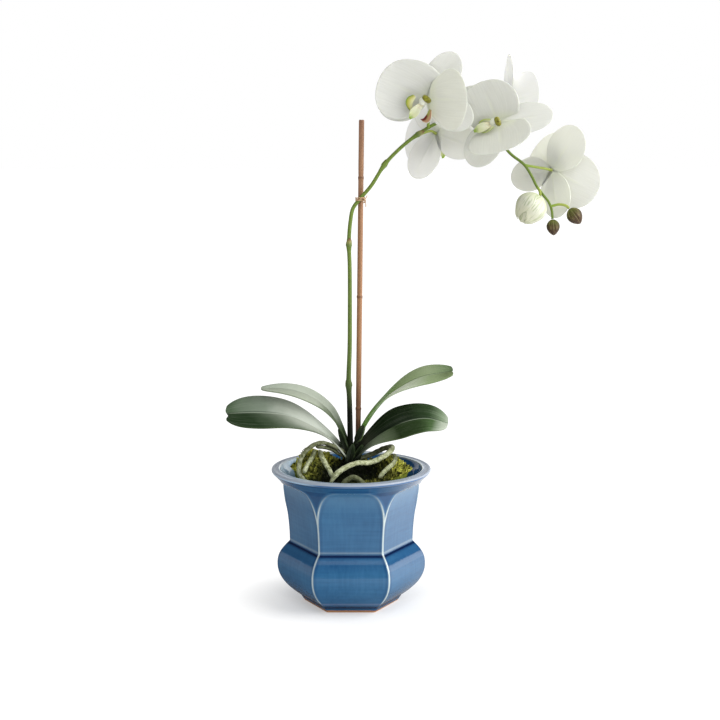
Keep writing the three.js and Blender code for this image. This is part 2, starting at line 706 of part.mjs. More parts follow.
// Each flower: its hub, the way it looks, the way its top points, how many degrees its sepals and its
// lip are turned from that, where its right sepal lies, how many degrees the sepals and petals are
// cupped forward and the petals rise above the level, and the stem point, as a share of the stem, that
// its stalk leaves.
const FLOWERS = [
  {
    name: "flower_1", hub: [77, -34, 386], look: [-0.2, -0.97, -0.08], top: [0.2, 0, 0.98],
    turn: -19, lipTurn: -30, rightSepal: 350, topCup: -4, sideCup: -4, petalRise: 10, petalCup: 26, leaves: 0.663,
  },
  {
    name: "flower_2", hub: [89, 19, 352], look: [0.5, 0.83, -0.2], top: [-0.3, 0, 0.95],
    turn: -8, lipTurn: 0, rightSepal: 318, topCup: 0, sideCup: 0, petalRise: 12, petalCup: 22, leaves: 0.632,
  },
  {
    name: "flower_3", hub: [150, -20, 363], look: [-0.24, -0.96, 0.08], top: [0.93, 0, 0.37],
    turn: -10, lipTurn: 0, rightSepal: 318, topCup: -3, sideCup: -3, petalRise: 2, petalCup: 40, leaves: 0.788,
  },
  {
    name: "flower_4", hub: [167, 54, 384], look: [0.96, 0.16, -0.08], top: [-0.1, 0, 1],
    turn: 0, lipTurn: 0, rightSepal: 318, topCup: -3, sideCup: 0, petalRise: 12, petalCup: 20, leaves: 0.8,
  },
  {
    name: "flower_5", hub: [211, 20, 314], look: [0.64, 0.75, -0.14], top: [0.67, 0, 0.74],
    turn: 0, lipTurn: 0, rightSepal: 318, topCup: 0, sideCup: 0, petalRise: 8, petalCup: 24, leaves: 0.884,
  },
];

function flowerPlacement({ hub, look, top }) {
  const forward = vec(...look).normalize();
  const right = vec(...top).cross(forward).normalize();
  const up = forward.clone().cross(right);
  const placement = new THREE.Matrix4().makeBasis(right, up, forward);
  return placement.setPosition(...hub);
}

// The stalk leaves the stem's surface, droops a little and meets the back of the hub squarely.
function pedicel(flower) {
  const start = STEM_CURVE.getPointAt(flower.leaves);
  const back = vec(...flower.look).normalize().negate();
  const end = vec(...flower.hub).addScaledVector(back, PETAL_THICKNESS / 2 + GAP);
  const approach = end.clone().addScaledVector(back, start.distanceTo(end) * 0.35);
  const stalk = tube([start, approach, end], PEDICEL_RADIUS, PEDICEL_RADIUS, 8, 6);
  return cutAway(stalk, [stem(GAP)]);
}

// Buds

// A bud hangs from the end of its stalk: tip is the way it points.
function budShape(radius, length) {
  const steps = 7;
  const profile = [];
  for (let i = 0; i <= steps; i += 1) {
    const t = i / steps;
    const around = Math.sin(Math.PI * t ** 0.85);
    profile.push([i === 0 || i === steps ? 0 : radius * around ** 0.8, length * t]);
  }
  return turned(profile, 10);
}

function bud(base, tip, radius, length) {
  const shape = budShape(radius, length);
  const turn = new THREE.Quaternion().setFromUnitVectors(vec(0, 0, 1), vec(...tip).normalize());
  shape.applyQuaternion(turn);
  return shape.translate(base.x, base.y, base.z);
}

const STEM_TIP = vec(...STEM_POINTS[STEM_POINTS.length - 1]);
const BUDS = [
  {
    name: "opening_bud", leaves: 0.932, stalk: [[2, -5, -3], [3, -9, -5]], tip: [-0.5, -0.15, -0.85],
    radius: OPENING_BUD_RADIUS, length: OPENING_BUD_LENGTH,
  },
  {
    name: "small_bud", leaves: 0.971, stalk: [[9, -2, 2], [17, -3, -2], [20, -3, -5]], tip: [0.6, 0, -0.8],
    radius: SMALL_BUD_RADIUS, length: SMALL_BUD_LENGTH,
  },
];

// The planter, then everything that lifts out with the liner

const arrangement = new THREE.Group();
const dropIn = new THREE.Group();
dropIn.position.z = RIM_TOP;
arrangement.add(dropIn);

function piece(group, name, geometry, color, roughness) {
  const material = new THREE.MeshStandardMaterial({ color, roughness, metalness: 0 });
  const mesh = new THREE.Mesh(geometry, material);
  mesh.name = name;
  group.add(mesh);
}

piece(arrangement, "planter", planter(), 0x3f6f9f, 0.2);
piece(dropIn, "liner_pot", linerPot(), 0x2b2b2b, 0.6);
piece(dropIn, "foam_plug", foamPlug(), 0x4c5a3a, 0.95);

const grownRoots = ROOTS.map((root) => rootTube(root, GAP));
piece(dropIn, "moss", cutAway(moss(), [crown(GAP), stake(GAP)]), 0x7d9030, 0.95);
piece(dropIn, "crown", crown(), 0x3a4a26, 0.7);
ROOTS.forEach((root, i) => {
  const earlier = grownRoots.slice(0, i);
  const shape = cutAway(rootTube(root), [crown(GAP), moss(GAP), ...earlier]);
  piece(dropIn, root.name, shape, 0xa3a582, 0.85);
});

const grownLeaves = LEAVES.map((blade) => leaf(blade, GAP));
LEAVES.forEach((blade, i) => {
  const earlier = grownLeaves.slice(0, i);
  const around = [crown(GAP), stem(GAP), stake(GAP), moss(GAP), ...earlier, ...grownRoots];
  const shape = cutAway(leaf(blade), around);
  piece(dropIn, blade.name, shape, 0x4a6b45, 0.5);
});

piece(dropIn, "flower_stem", stem(), 0x5f7a2f, 0.5);
piece(dropIn, "bamboo_stake", stake(), 0x8a5a3a, 0.6);
piece(dropIn, "stake_tie", stakeTie(), 0xc9a877, 0.9);

for (const flower of FLOWERS) {
  const placement = flowerPlacement(flower);
  const parts = [
    ["sepals", sepals(flower), 0xe4e5da],
    ["petals", petals(flower), 0xe9eae2],
    ["column", column(flower), 0x9a9a30],
    ["lip", lip(flower), 0xd9dfa0],
  ];
  piece(dropIn, `${flower.name}_pedicel`, pedicel(flower), 0x7f9a3c, 0.5);
  for (const [part, geometry, color] of parts) {
    piece(dropIn, `${flower.name}_${part}`, geometry.applyMatrix4(placement), color, 0.6);
  }
}

for (const { name, leaves, stalk, tip, radius, length } of BUDS) {
  const start = STEM_CURVE.getPointAt(leaves);
  const path = [start, ...stalk.map((offset) => start.clone().add(vec(...offset)))];
  const stalkTube = (grow) => tube(path, PEDICEL_RADIUS + grow, PEDICEL_RADIUS + grow, 6, 6);
  const base = path[path.length - 1].clone().addScaledVector(vec(...tip).normalize(), GAP);
  const budBody = cutAway(bud(base, tip, radius, length), [stem(GAP), stalkTube(GAP)]);
  piece(dropIn, `${name}_stalk`, cutAway(stalkTube(0), [stem(GAP)]), 0x7f9a3c, 0.5);
  piece(dropIn, name, budBody, 0x8a8a4a, 0.6);
}
const lastBudBase = STEM_TIP.clone().add(vec(0, 0, -GAP));
piece(dropIn, "last_bud", bud(lastBudBase, [0.1, 0, -1], SMALL_BUD_RADIUS, SMALL_BUD_LENGTH), 0x7a7a3a, 0.6);

export default arrangement;
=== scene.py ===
# %% [markdown]
# # A six-sided glazed planter with its plant
# The real object is a slip-cast planter under a glossy blue glaze, with an arching moth orchid that
# lifts out of it in a liner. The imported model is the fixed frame: it says where each piece is and what
# moves. Every visible piece is made again here with a finer surface, in the same place.

# %% Load the frame
import bisect
import math
import random

import bmesh
import bpy
from mathutils import Matrix, Vector, geometry, noise


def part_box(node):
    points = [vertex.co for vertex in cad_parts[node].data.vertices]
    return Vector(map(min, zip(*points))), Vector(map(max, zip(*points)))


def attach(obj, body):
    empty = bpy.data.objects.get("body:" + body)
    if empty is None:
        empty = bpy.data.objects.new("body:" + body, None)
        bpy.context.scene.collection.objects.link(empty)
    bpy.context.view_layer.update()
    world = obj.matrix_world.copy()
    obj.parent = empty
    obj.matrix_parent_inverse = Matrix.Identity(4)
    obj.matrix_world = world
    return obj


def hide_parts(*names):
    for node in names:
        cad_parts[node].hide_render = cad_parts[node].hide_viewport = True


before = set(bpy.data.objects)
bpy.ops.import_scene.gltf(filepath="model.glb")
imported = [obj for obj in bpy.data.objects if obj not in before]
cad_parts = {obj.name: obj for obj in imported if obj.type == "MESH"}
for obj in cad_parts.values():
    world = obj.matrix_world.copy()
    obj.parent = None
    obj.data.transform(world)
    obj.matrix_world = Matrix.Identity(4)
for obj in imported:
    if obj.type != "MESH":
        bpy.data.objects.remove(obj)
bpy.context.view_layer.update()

MM = 0.001
RIM_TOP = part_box("planter")[1].z
print("nodes in the frame:", len(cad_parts), "rim at", round(RIM_TOP, 4))

# %% [markdown]
# ## Camera
# The photograph was taken from straight in front, a little above the flowers, with a long lens, so
# upright edges stay nearly parallel. The camera's place was fitted to the planter's foot, waist and
# rim, which are level rings of known size. The pitch is a plain tilt, so nothing is shifted.

# %% Set up the camera
CAMERA_PLACE = (0.0094, -1.519, 0.4845)
CAMERA_TILT_DOWN = 8.33
CAMERA_LENS = 72.64
CAMERA_SENSOR = 36

camera_lens = bpy.data.cameras.new("camera")
camera_lens.lens = CAMERA_LENS
camera_lens.sensor_width = CAMERA_SENSOR
camera = bpy.data.objects.new("camera", camera_lens)
camera.location = CAMERA_PLACE
camera.rotation_euler = (math.radians(90 - CAMERA_TILT_DOWN), 0, 0)
bpy.context.scene.collection.objects.link(camera)
bpy.context.scene.camera = camera
bpy.context.scene.view_settings.view_transform = "Standard"
print("camera looks down by", CAMERA_TILT_DOWN, "degrees")

# %% [markdown]
# ## Shader sums
# A finish is a sum over the surface: a base colour, plus a paler tone where the glaze is thin, and so
# on. Wires could be joined by hand in the editor. Here a small class lets a wire take part in ordinary
# sums, so that each finish reads as a formula, and one method adds every other kind of node. Thin and
# waxy pieces also let light in: a glow says how far its red, green and blue spread, in metres.


# %% Let a wire take part in sums
class Wire:
    """A value on its way through a node tree."""

    def __init__(self, nodes, socket):
        self.nodes = nodes
        self.socket = socket

    def sum(self, operation, *values):
        return self.nodes.add("ShaderNodeMath", {"operation": operation}, dict(enumerate(values)))

    def __add__(self, other):
        return self.sum("ADD", self, other)

    def __sub__(self, other):
        return self.sum("SUBTRACT", self, other)

    def __rsub__(self, other):
        return self.sum("SUBTRACT", other, self)

    def __mul__(self, other):
        return self.sum("MULTIPLY", self, other)

    def __truediv__(self, other):
        return self.sum("DIVIDE", self, other)

    def __pow__(self, power):
        return self.sum("POWER", self, power)

    __radd__ = __add__
    __rmul__ = __mul__

    def clamp(self):
        return self.nodes.add("ShaderNodeClamp", inputs={0: self})

    def ease(self, start, end):
        """0 before start, 1 after end, smooth between them."""
        settings = {"interpolation_type": "SMOOTHSTEP"}
        return self.nodes.add("ShaderNodeMapRange", settings, {0: self, 1: start, 2: end})

    def between(self, start, full, fading, end):
        """1 from full to fading, easing in from the start and out to the end."""
        return self.ease(start, full) * (1 - self.ease(fading, end))

    def bell(self, centre, width):
        """1 at the centre, falling away over the width on both sides."""
        off = (self - centre) / width
        return self.sum("EXPONENT", (off * off) * -1.0)

    def parts(self):
        """The three numbers of a vector."""
        split = self.nodes.add("ShaderNodeSeparateXYZ", inputs={0: self}).socket.node
        return [Wire(self.nodes, socket) for socket in split.outputs]


# %% Add any node, and build a finish
def set_stops(ramp, stops):
    while len(ramp.elements) < len(stops):
        ramp.elements.new(1.0)
    for element, (position, colour) in zip(ramp.elements, stops):
        element.position = position
        element.color = colour


class Nodes:
    """A node tree that nodes are added to."""

    def __init__(self, tree):
        self.tree = tree

    def add(self, kind, settings=None, inputs=None, output=0):
        node = self.tree.nodes.new(kind)
        for name, value in (settings or {}).items():
            if name == "stops":
                set_stops(node.color_ramp, value)
            else:
                setattr(node, name, value)
        for name, value in (inputs or {}).items():
            self.feed(node.inputs[name], value)
        return Wire(self, node.outputs[output]) if node.outputs else None

    def feed(self, socket, value):
        if isinstance(value, Wire):
            self.tree.links.new(value.socket, socket)
        else:
            socket.default_value = value

    def blend(self, share, first, second):
        """The first colour, giving way to the second as the share goes from 0 to 1."""
        settings = {"data_type": "RGBA"}
        return self.add("ShaderNodeMix", settings, {0: share, 6: first, 7: second}, output=2)

    def ramp(self, share, *stops):
        return self.add("ShaderNodeValToRGB", {"stops": stops}, {0: share})

    def stretched(self, place, scale):
        return self.add("ShaderNodeVectorMath", {"operation": "MULTIPLY"}, {0: place, 1: scale})

    def noise(self, place, scale, detail=3.0, roughness=0.55, distortion=0.0):
        inputs = {"Vector": place, "Scale": scale, "Detail": detail}
        inputs.update({"Roughness": roughness, "Distortion": distortion})
        return self.add("ShaderNodeTexNoise", inputs=inputs)

    def attribute(self, name):
        return self.add("ShaderNodeAttribute", {"attribute_name": name}, output="Fac")


class Finish(Nodes):
    """A material on the main shader. What is the same all over is given by name at the start."""

    def __init__(self, name, **fixed):
        self.material = bpy.data.materials.new(name)
        self.material.use_nodes = True
        super().__init__(self.material.node_tree)
        self.shader = self.tree.nodes["Principled BSDF"]
        self.place = self.add("ShaderNodeTexCoord", output="Object")
        self.set(**fixed)

    def set(self, **sockets):
        for name, value in sockets.items():
            self.feed(self.shader.inputs[name.replace("_", " ")], value)

    def bump(self, height, distance):
        inputs = {"Height": height, "Distance": distance}
        self.set(Normal=self.add("ShaderNodeBump", inputs=inputs))


def paint(red, green, blue):
    """A colour from its ordinary 0 to 255 values, made linear by the usual screen curve."""
    shares = [channel / 255 for channel in (red, green, blue)]
    linear = [share / 12.92 if share <= 0.04 else ((share + 0.055) / 1.055) ** 2.4 for share in shares]
    return (*linear, 1.0)


SHALLOW_GLOW = (0.002, 0.002, 0.001)
DEEP_GLOW = (0.005, 0.005, 0.004)
print("a mid grey reads", [round(c, 3) for c in paint(128, 128, 128)])

# %% [markdown]
# ## Shapes from grids
# Stems, roots, leaves and petals are all sheets or tubes that follow a line. One way serves them all:
# a flat grid from the grid operator, whose points are then moved to where a formula puts them. Each
# point keeps which side of the middle it is on, and how far across and along, because veins and tips
# are coloured by that.


# %% Make a line through points, measured along its length
ROUTE_FINENESS = 16
HEADING_STEP = 0.004
FIRST_SIDE = (0, 1, 0)


class Route:
    """A smooth line through points given in millimetres. Places on it are shares of its length."""

    def __init__(self, points):
        knots = [Vector(point) * MM for point in points]
        knots = [knots[0] * 2 - knots[1], *knots, knots[-1] * 2 - knots[-2]]
        self.line = [knots[1]]
        for before, start, end, after in zip(knots, knots[1:], knots[2:], knots[3:]):
            pairs = ((before, start), (start, end), (end, after))
            first, middle, last = [math.sqrt((there - here).length) for here, there in pairs]
            leave = (start - before) / first - (end - before) / (first + middle) + (end - start) / middle
            arrive = (end - start) / middle - (after - start) / (middle + last) + (after - end) / last
            handles = (start + leave * middle / 3, end - arrive * middle / 3)
            self.line += geometry.interpolate_bezier(start, *handles, end, ROUTE_FINENESS)[1:]
        self.reach = [0.0]
        for here, there in zip(self.line, self.line[1:]):
            self.reach.append(self.reach[-1] + (there - here).length)
        self.length = self.reach[-1]

    def at(self, share):
        target = min(max(share, 0), 1) * self.length
        i = min(bisect.bisect_right(self.reach, target), len(self.line) - 1)
        start, end = self.reach[i - 1], self.reach[i]
        return self.line[i - 1].lerp(self.line[i], (target - start) / (end - start))

    def heading(self, share):
        return (self.at(share + HEADING_STEP) - self.at(share - HEADING_STEP)).normalized()

    def frames(self, steps):
        """Centres, and two directions across each, that turn as little as they can."""
        side = Vector(FIRST_SIDE)
        made = []
        for step in range(steps + 1):
            heading = self.heading(step / steps)
            side = (side - heading * side.dot(heading)).normalized()
            made.append((self.at(step / steps), side, heading.cross(side)))
        return made


# %% Make sheets and rods
MEETING = 1e-6
LEAST_EDGE = 1e-7


def sheet(columns, rows, place):
    """A grid whose points go where place(across, along) says, both from 0 to 1."""
    mesh = bmesh.new()
    bmesh.ops.create_grid(mesh, x_segments=columns, y_segments=rows, size=0.5)
    side = mesh.verts.layers.float.new("side")
    across = mesh.verts.layers.float.new("across")
    along = mesh.verts.layers.float.new("along")
    for vert in mesh.verts:
        u, v = vert.co.x + 0.5, vert.co.y + 0.5
        vert[side] = 2 * u - 1
        vert[across] = abs(2 * u - 1)
        vert[along] = v
        vert.co = place(u, v)
    return mesh


def closed(mesh):
    """Joins the points that meet and turns the faces out."""
    bmesh.ops.remove_doubles(mesh, verts=mesh.verts, dist=MEETING)
    bmesh.ops.dissolve_degenerate(mesh, edges=mesh.edges, dist=LEAST_EDGE)
    bmesh.ops.recalc_face_normals(mesh, faces=mesh.faces)
    return mesh


def rod(route, steps, sides, radius_at, flatness=1.0):
    """A closed rod along a route. radius_at(along, around) is its radius, around in turns."""
    frames = route.frames(steps)
    rows = steps + 2

    def place(u, v):
        row = round(v * rows)
        share = min(max((row - 1) / steps, 0), 1)
        centre, right, up = frames[round(share * steps)]
        radius = 0 if row in (0, rows) else radius_at(share, u)
        turn = 2 * math.pi * u
        return centre + right * radius * math.cos(turn) + up * radius * flatness * math.sin(turn)

    return closed(sheet(sides, rows, place))


# %% Turn a mesh into a piece of the object
def settle(mesh, name, finish, body="drop_in", stands_for=(), wall=0.0, smooth=0):
    """Makes the piece, gives it its finish and lets it ride on its body."""
    data = bpy.data.meshes.new(name)
    mesh.to_mesh(data)
    mesh.free()
    data.shade_smooth()
    data.materials.append(finish)
    piece = bpy.data.objects.new(name, data)
    bpy.context.scene.collection.objects.link(piece)
    if wall:
        solid = piece.modifiers.new("wall", "SOLIDIFY")
        solid.thickness = wall
        solid.offset = 0
    if smooth:
        rounder = piece.modifiers.new("round", "SUBSURF")
        rounder.levels = smooth
        rounder.render_levels = smooth
    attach(piece, body)
    if stands_for:
        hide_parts(*stands_for)
    return piece


def mix(start, end, share):
    return start + (end - start) * share


def ease(share, start, end):
    """0 before start, 1 after end, smooth between them."""
    t = min(max((share - start) / (end - start), 0), 1)
    return t * t * (3 - 2 * t)


def bell(distance, width):
    return math.exp(-((distance / width) ** 2))


trial = Route([(0, 0, 0), (10, 0, 0), (20, 5, 0)])
print("a trial route is", round(trial.length / MM, 1), "mm long")

# %% [markdown]
# ## Planter
# The planter is slip-cast in one piece: six flat panels on a bellied belt and a neck, closing in
# arches under a round flared rim. Its outline is drawn once as a chain of points and spun round, which
# gives an even round pot. Each point is then drawn in to its flat panel by a formula, so that the
# panel edges get as many points as they need and stay crisp.

# %% Draw the planter's outline
FOOT_RADIUS = 50.5 * MM
FOOT_HEIGHT = 6.2 * MM
BELT_START_RADIUS = 54.9 * MM
BELT_RADIUS = 80.4 * MM
BELT_PEAK = 41 * MM
WAIST_RADIUS = 66.7 * MM
WAIST = 66.5 * MM
NECK_RADIUS = 72.8 * MM
FLARE_START = 130.5 * MM
FLARE_RADIUS = 84.2 * MM
FLARE_TOP = 142.9 * MM
RIM_RADIUS = 85 * MM
RIM_INNER_RADIUS = 75.7 * MM
WALL = 5.5 * MM
FLOOR = 9 * MM
ARCH_START = 92.5 * MM
ARCH_TOP = 135.65 * MM
FOOT_RING = 7 * MM
FOOT_RECESS = 1.2 * MM
LIP_ROUNDING = 2 * MM
EDGE_ROUNDING = 1 * MM
RIM_DISH = 0.5 * MM
FLOOR_ROUNDING = 3 * MM
BELLY_POINTS = 24
SHOULDER_POINTS = 26
NECK_POINTS = 60
FLARE_POINTS = 22
LIP_POINTS = 10
EDGE_POINTS = 5


def curve(points, count):
    """Points along a curve drawn by four handles, each a radius and a height. Below, a share says how
    far a handle lies from one named radius or height to the next."""
    handles = [Vector((radius, 0, height)) for radius, height in points]
    return [(point.x, point.z) for point in geometry.interpolate_bezier(*handles, count)]


def outside_outline():
    belly = curve([
        (BELT_START_RADIUS, FOOT_HEIGHT),
        (mix(BELT_START_RADIUS, BELT_RADIUS, 0.66), mix(FOOT_HEIGHT, BELT_PEAK, 0.31)),
        (BELT_RADIUS, mix(FOOT_HEIGHT, BELT_PEAK, 0.62)),
        (BELT_RADIUS, BELT_PEAK),
    ], BELLY_POINTS)
    shoulder = curve([
        (BELT_RADIUS, BELT_PEAK),
        (BELT_RADIUS, mix(BELT_PEAK, WAIST, 0.43)),
        (mix(WAIST_RADIUS, BELT_RADIUS, 0.72), mix(BELT_PEAK, WAIST, 0.62)),
        (WAIST_RADIUS, WAIST),
    ], SHOULDER_POINTS)
    neck = curve([
        (WAIST_RADIUS, WAIST),
        (WAIST_RADIUS, mix(WAIST, FLARE_START, 0.34)),
        (mix(WAIST_RADIUS, NECK_RADIUS, 0.62), mix(WAIST, FLARE_START, 0.6)),
        (NECK_RADIUS, FLARE_START),
    ], NECK_POINTS)
    bend = (mix(NECK_RADIUS, FLARE_RADIUS, 0.3), mix(FLARE_START, FLARE_TOP, 0.34))
    flare = curve([
        (NECK_RADIUS, FLARE_START),
        (mix(NECK_RADIUS, bend[0], 0.667), mix(FLARE_START, bend[1], 0.667)),
        (mix(FLARE_RADIUS, bend[0], 0.667), mix(FLARE_TOP, bend[1], 0.667)),
        (FLARE_RADIUS, FLARE_TOP),
    ], FLARE_POINTS)
    foot = [(FOOT_RADIUS, 0), (mix(FOOT_RADIUS, BELT_START_RADIUS, 0.5), FOOT_HEIGHT / 2)]
    return [*foot, *belly, *shoulder[1:], *neck[1:], *flare[1:]]


def rim_outline():
    """From the flare over the lip and the slightly dished top to the inner edge."""
    top_start = RIM_RADIUS - LIP_ROUNDING
    top_end = RIM_INNER_RADIUS + EDGE_ROUNDING
    lip = curve([
        (FLARE_RADIUS, FLARE_TOP),
        (mix(FLARE_RADIUS, RIM_RADIUS, 1.5), mix(FLARE_TOP, RIM_TOP, 0.35)),
        (mix(FLARE_RADIUS, RIM_RADIUS, 1.3), RIM_TOP),
        (top_start, RIM_TOP),
    ], LIP_POINTS)
    top = [(mix(top_start, top_end, share), RIM_TOP - RIM_DISH * math.sin(math.pi * share))
           for share in (0.2, 0.4, 0.6, 0.8, 1.0)]
    edge = curve([
        (top_end, RIM_TOP),
        (RIM_INNER_RADIUS + 0.3 * MM, RIM_TOP),
        (RIM_INNER_RADIUS, RIM_TOP - 0.3 * MM),
        (RIM_INNER_RADIUS, RIM_TOP - 1.4 * MM),
    ], EDGE_POINTS)
    return [*lip[1:], *top, *edge[1:]]


def panel_half_angle(height):
    """Half the angle of a flat panel seen from the axis: a whole side low down, closing in an arch."""
    up = (height - ARCH_START) / (ARCH_TOP - ARCH_START)
    if up <= 0:
        return math.pi / 6
    return math.asin(0.5 * (1 - min(up, 1) ** 2) ** 0.25)


def cavity_radius(outer, height):
    if height <= FLARE_START:
        return outer - WALL / math.cos(panel_half_angle(height))
    return mix(NECK_RADIUS - WALL, RIM_INNER_RADIUS, (height - FLARE_START) / (RIM_TOP - FLARE_START))


outline = outside_outline()
inside = [(cavity_radius(r, z), z) for r, z in outline[::2] if FLOOR + MM < z < FLARE_TOP - MM]
floor_radius = inside[0][0]
ring_inside = FOOT_RADIUS - FOOT_RING
under = [(0, FOOT_RECESS), (ring_inside, FOOT_RECESS), (ring_inside + FOOT_RECESS, 0)]
floor = [(floor_radius - FLOOR_ROUNDING, FLOOR), (0, FLOOR)]
profile = [*under, *outline, *rim_outline(), *reversed(inside), *floor]
rim_starts = len(under) + len(outline)
print("the outline has", len(profile), "points")

# %% Spin the outline and draw it in to six panels
SPIN_STEPS = 168
PANEL_SHARE = 11 / 14
ARRIS_ANGLE = math.radians(1.4)
LEAST_MESH_ANGLE = math.radians(22)
RIDGE_HEIGHT = 0.35 * MM
RIDGE_WIDTH = 1.3 * MM
RIDGE_LEAST_ANGLE = math.radians(4)
SIXTH = math.pi / 3


def to_panel(turn, radius, height, outer):
    """Where a point of the round pot goes on the six-sided one, and its distance in from a panel edge."""
    side = round((turn + math.pi / 2) / SIXTH)
    facing = side * SIXTH - math.pi / 2
    share = (turn - facing) / (SIXTH / 2)
    drawn = panel_half_angle(height)
    half = min(drawn, SIXTH / 2 - ARRIS_ANGLE)
    mesh_half = max(half, LEAST_MESH_ANGLE)
    if abs(share) <= PANEL_SHARE:
        off = mesh_half * math.sin(math.pi / 2 * abs(share) / PANEL_SHARE)
    else:
        off = mix(mesh_half, SIXTH / 2, (abs(share) - PANEL_SHARE) / (1 - PANEL_SHARE))
    corner = radius * math.cos(drawn) / math.cos(half) if drawn > half else radius
    reach = corner * math.cos(half) / math.cos(off) if off < half else corner
    arch = 1 - min(1, math.sin(off) / 0.5) ** 4
    sideways = (drawn - off) * radius
    upward = ARCH_START + (ARCH_TOP - ARCH_START) * math.sqrt(arch) - height
    seam = sideways
    if height > ARCH_START:
        seam *= abs(upward) / max(math.hypot(sideways, upward), 1e-9)
    if height > ARCH_TOP:
        seam = -upward
    if outer and half > RIDGE_LEAST_ANGLE:
        reach += RIDGE_HEIGHT * bell(sideways, RIDGE_WIDTH)
    turned = facing + math.copysign(off, share)
    return Vector((reach * math.cos(turned), reach * math.sin(turned), height)), seam


def planter_mesh():
    mesh = bmesh.new()
    outer = mesh.verts.layers.float.new("outer")
    seam = mesh.verts.layers.float.new("seam")
    chain = [mesh.verts.new((radius, 0, height)) for radius, height in profile]
    for i, vert in enumerate(chain):
        vert[outer] = 1.0 if i < rim_starts else 0.0
    edges = [mesh.edges.new(pair) for pair in zip(chain, chain[1:])]
    bmesh.ops.spin(mesh, geom=chain + edges, cent=(0, 0, 0), axis=(0, 0, 1), dvec=(0, 0, 0),
                   angle=2 * math.pi, steps=SPIN_STEPS, use_merge=True)
    for vert in mesh.verts:
        radius = math.hypot(vert.co.x, vert.co.y)
        if radius > MM:
            turn = math.atan2(vert.co.y, vert.co.x)
            vert.co, vert[seam] = to_panel(turn, radius, vert.co.z, vert[outer] > 0.5)
    return closed(mesh)


planter_shape = planter_mesh()
print("the planter has", len(planter_shape.faces), "faces")

# %% [markdown]
# ## Blue glaze
# A glossy glaze runs while it melts. It draws back from raised edges, where it fires pale, and pools
# deep blue in the creases under the rim, at the waist and over the foot. Both follow the shape, so the
# finish reads the distance to a panel edge, which each point carries, and its height. Painted shade
# darkens the underside of the rim and the corners between the arches, and deepens the creases. A
# painted dark reflection deepens the belt's shoulder, painted reflections lighten the tops of the
# panels and the rim's top, and painted light brightens the inner wall at the left. A painted highlight
# makes the edges on the right paler. The foot is wiped bare before firing and shows warm clay. It could
# be painted as an image, but a formula stays sharp at any size and has no seam. Heights are millimetres
# above the table. A band is four of them: where it starts, is full, starts to fade and ends.

# %% Mix the glaze
GLAZE_BLUE = paint(60, 112, 151)
GLAZE_DEEP = paint(32, 78, 119)
GLAZE_POOL_AND_SHADE = paint(12, 50, 96)
GLAZE_CREASE_AND_SHADE = paint(3, 22, 62)
GLAZE_THIN = paint(196, 208, 206)
GLAZE_PAINTED_REFLECTION = paint(112, 156, 188)
GLAZE_INSIDE = paint(26, 84, 142)
GLAZE_PAINTED_LIGHT = paint(176, 206, 228)
GLAZE_RIM_AND_REFLECTION = paint(150, 160, 174)
GLAZE_FOOT = paint(104, 122, 156)
BARE_CLAY = paint(224, 168, 124)
DARK_CLAY = paint(176, 112, 74)
UNDER_RIM_SHADE = (135.0, 136.4, 140.0, 143.0)
ARCH_GAP_SHADE = (96.0, 116.0, 134.0, 136.0)
PANEL_TOP_REFLECTION = (108.0, 133.0, 134.8, 135.4)
PANEL_EDGES = (9.0, 14.0, 135.0, 136.5)
WAIST_CREASE = 64.7
PALE_WAIST = 67.9
PALE_LIP = 143.4
PALE_FOOT = 11.8


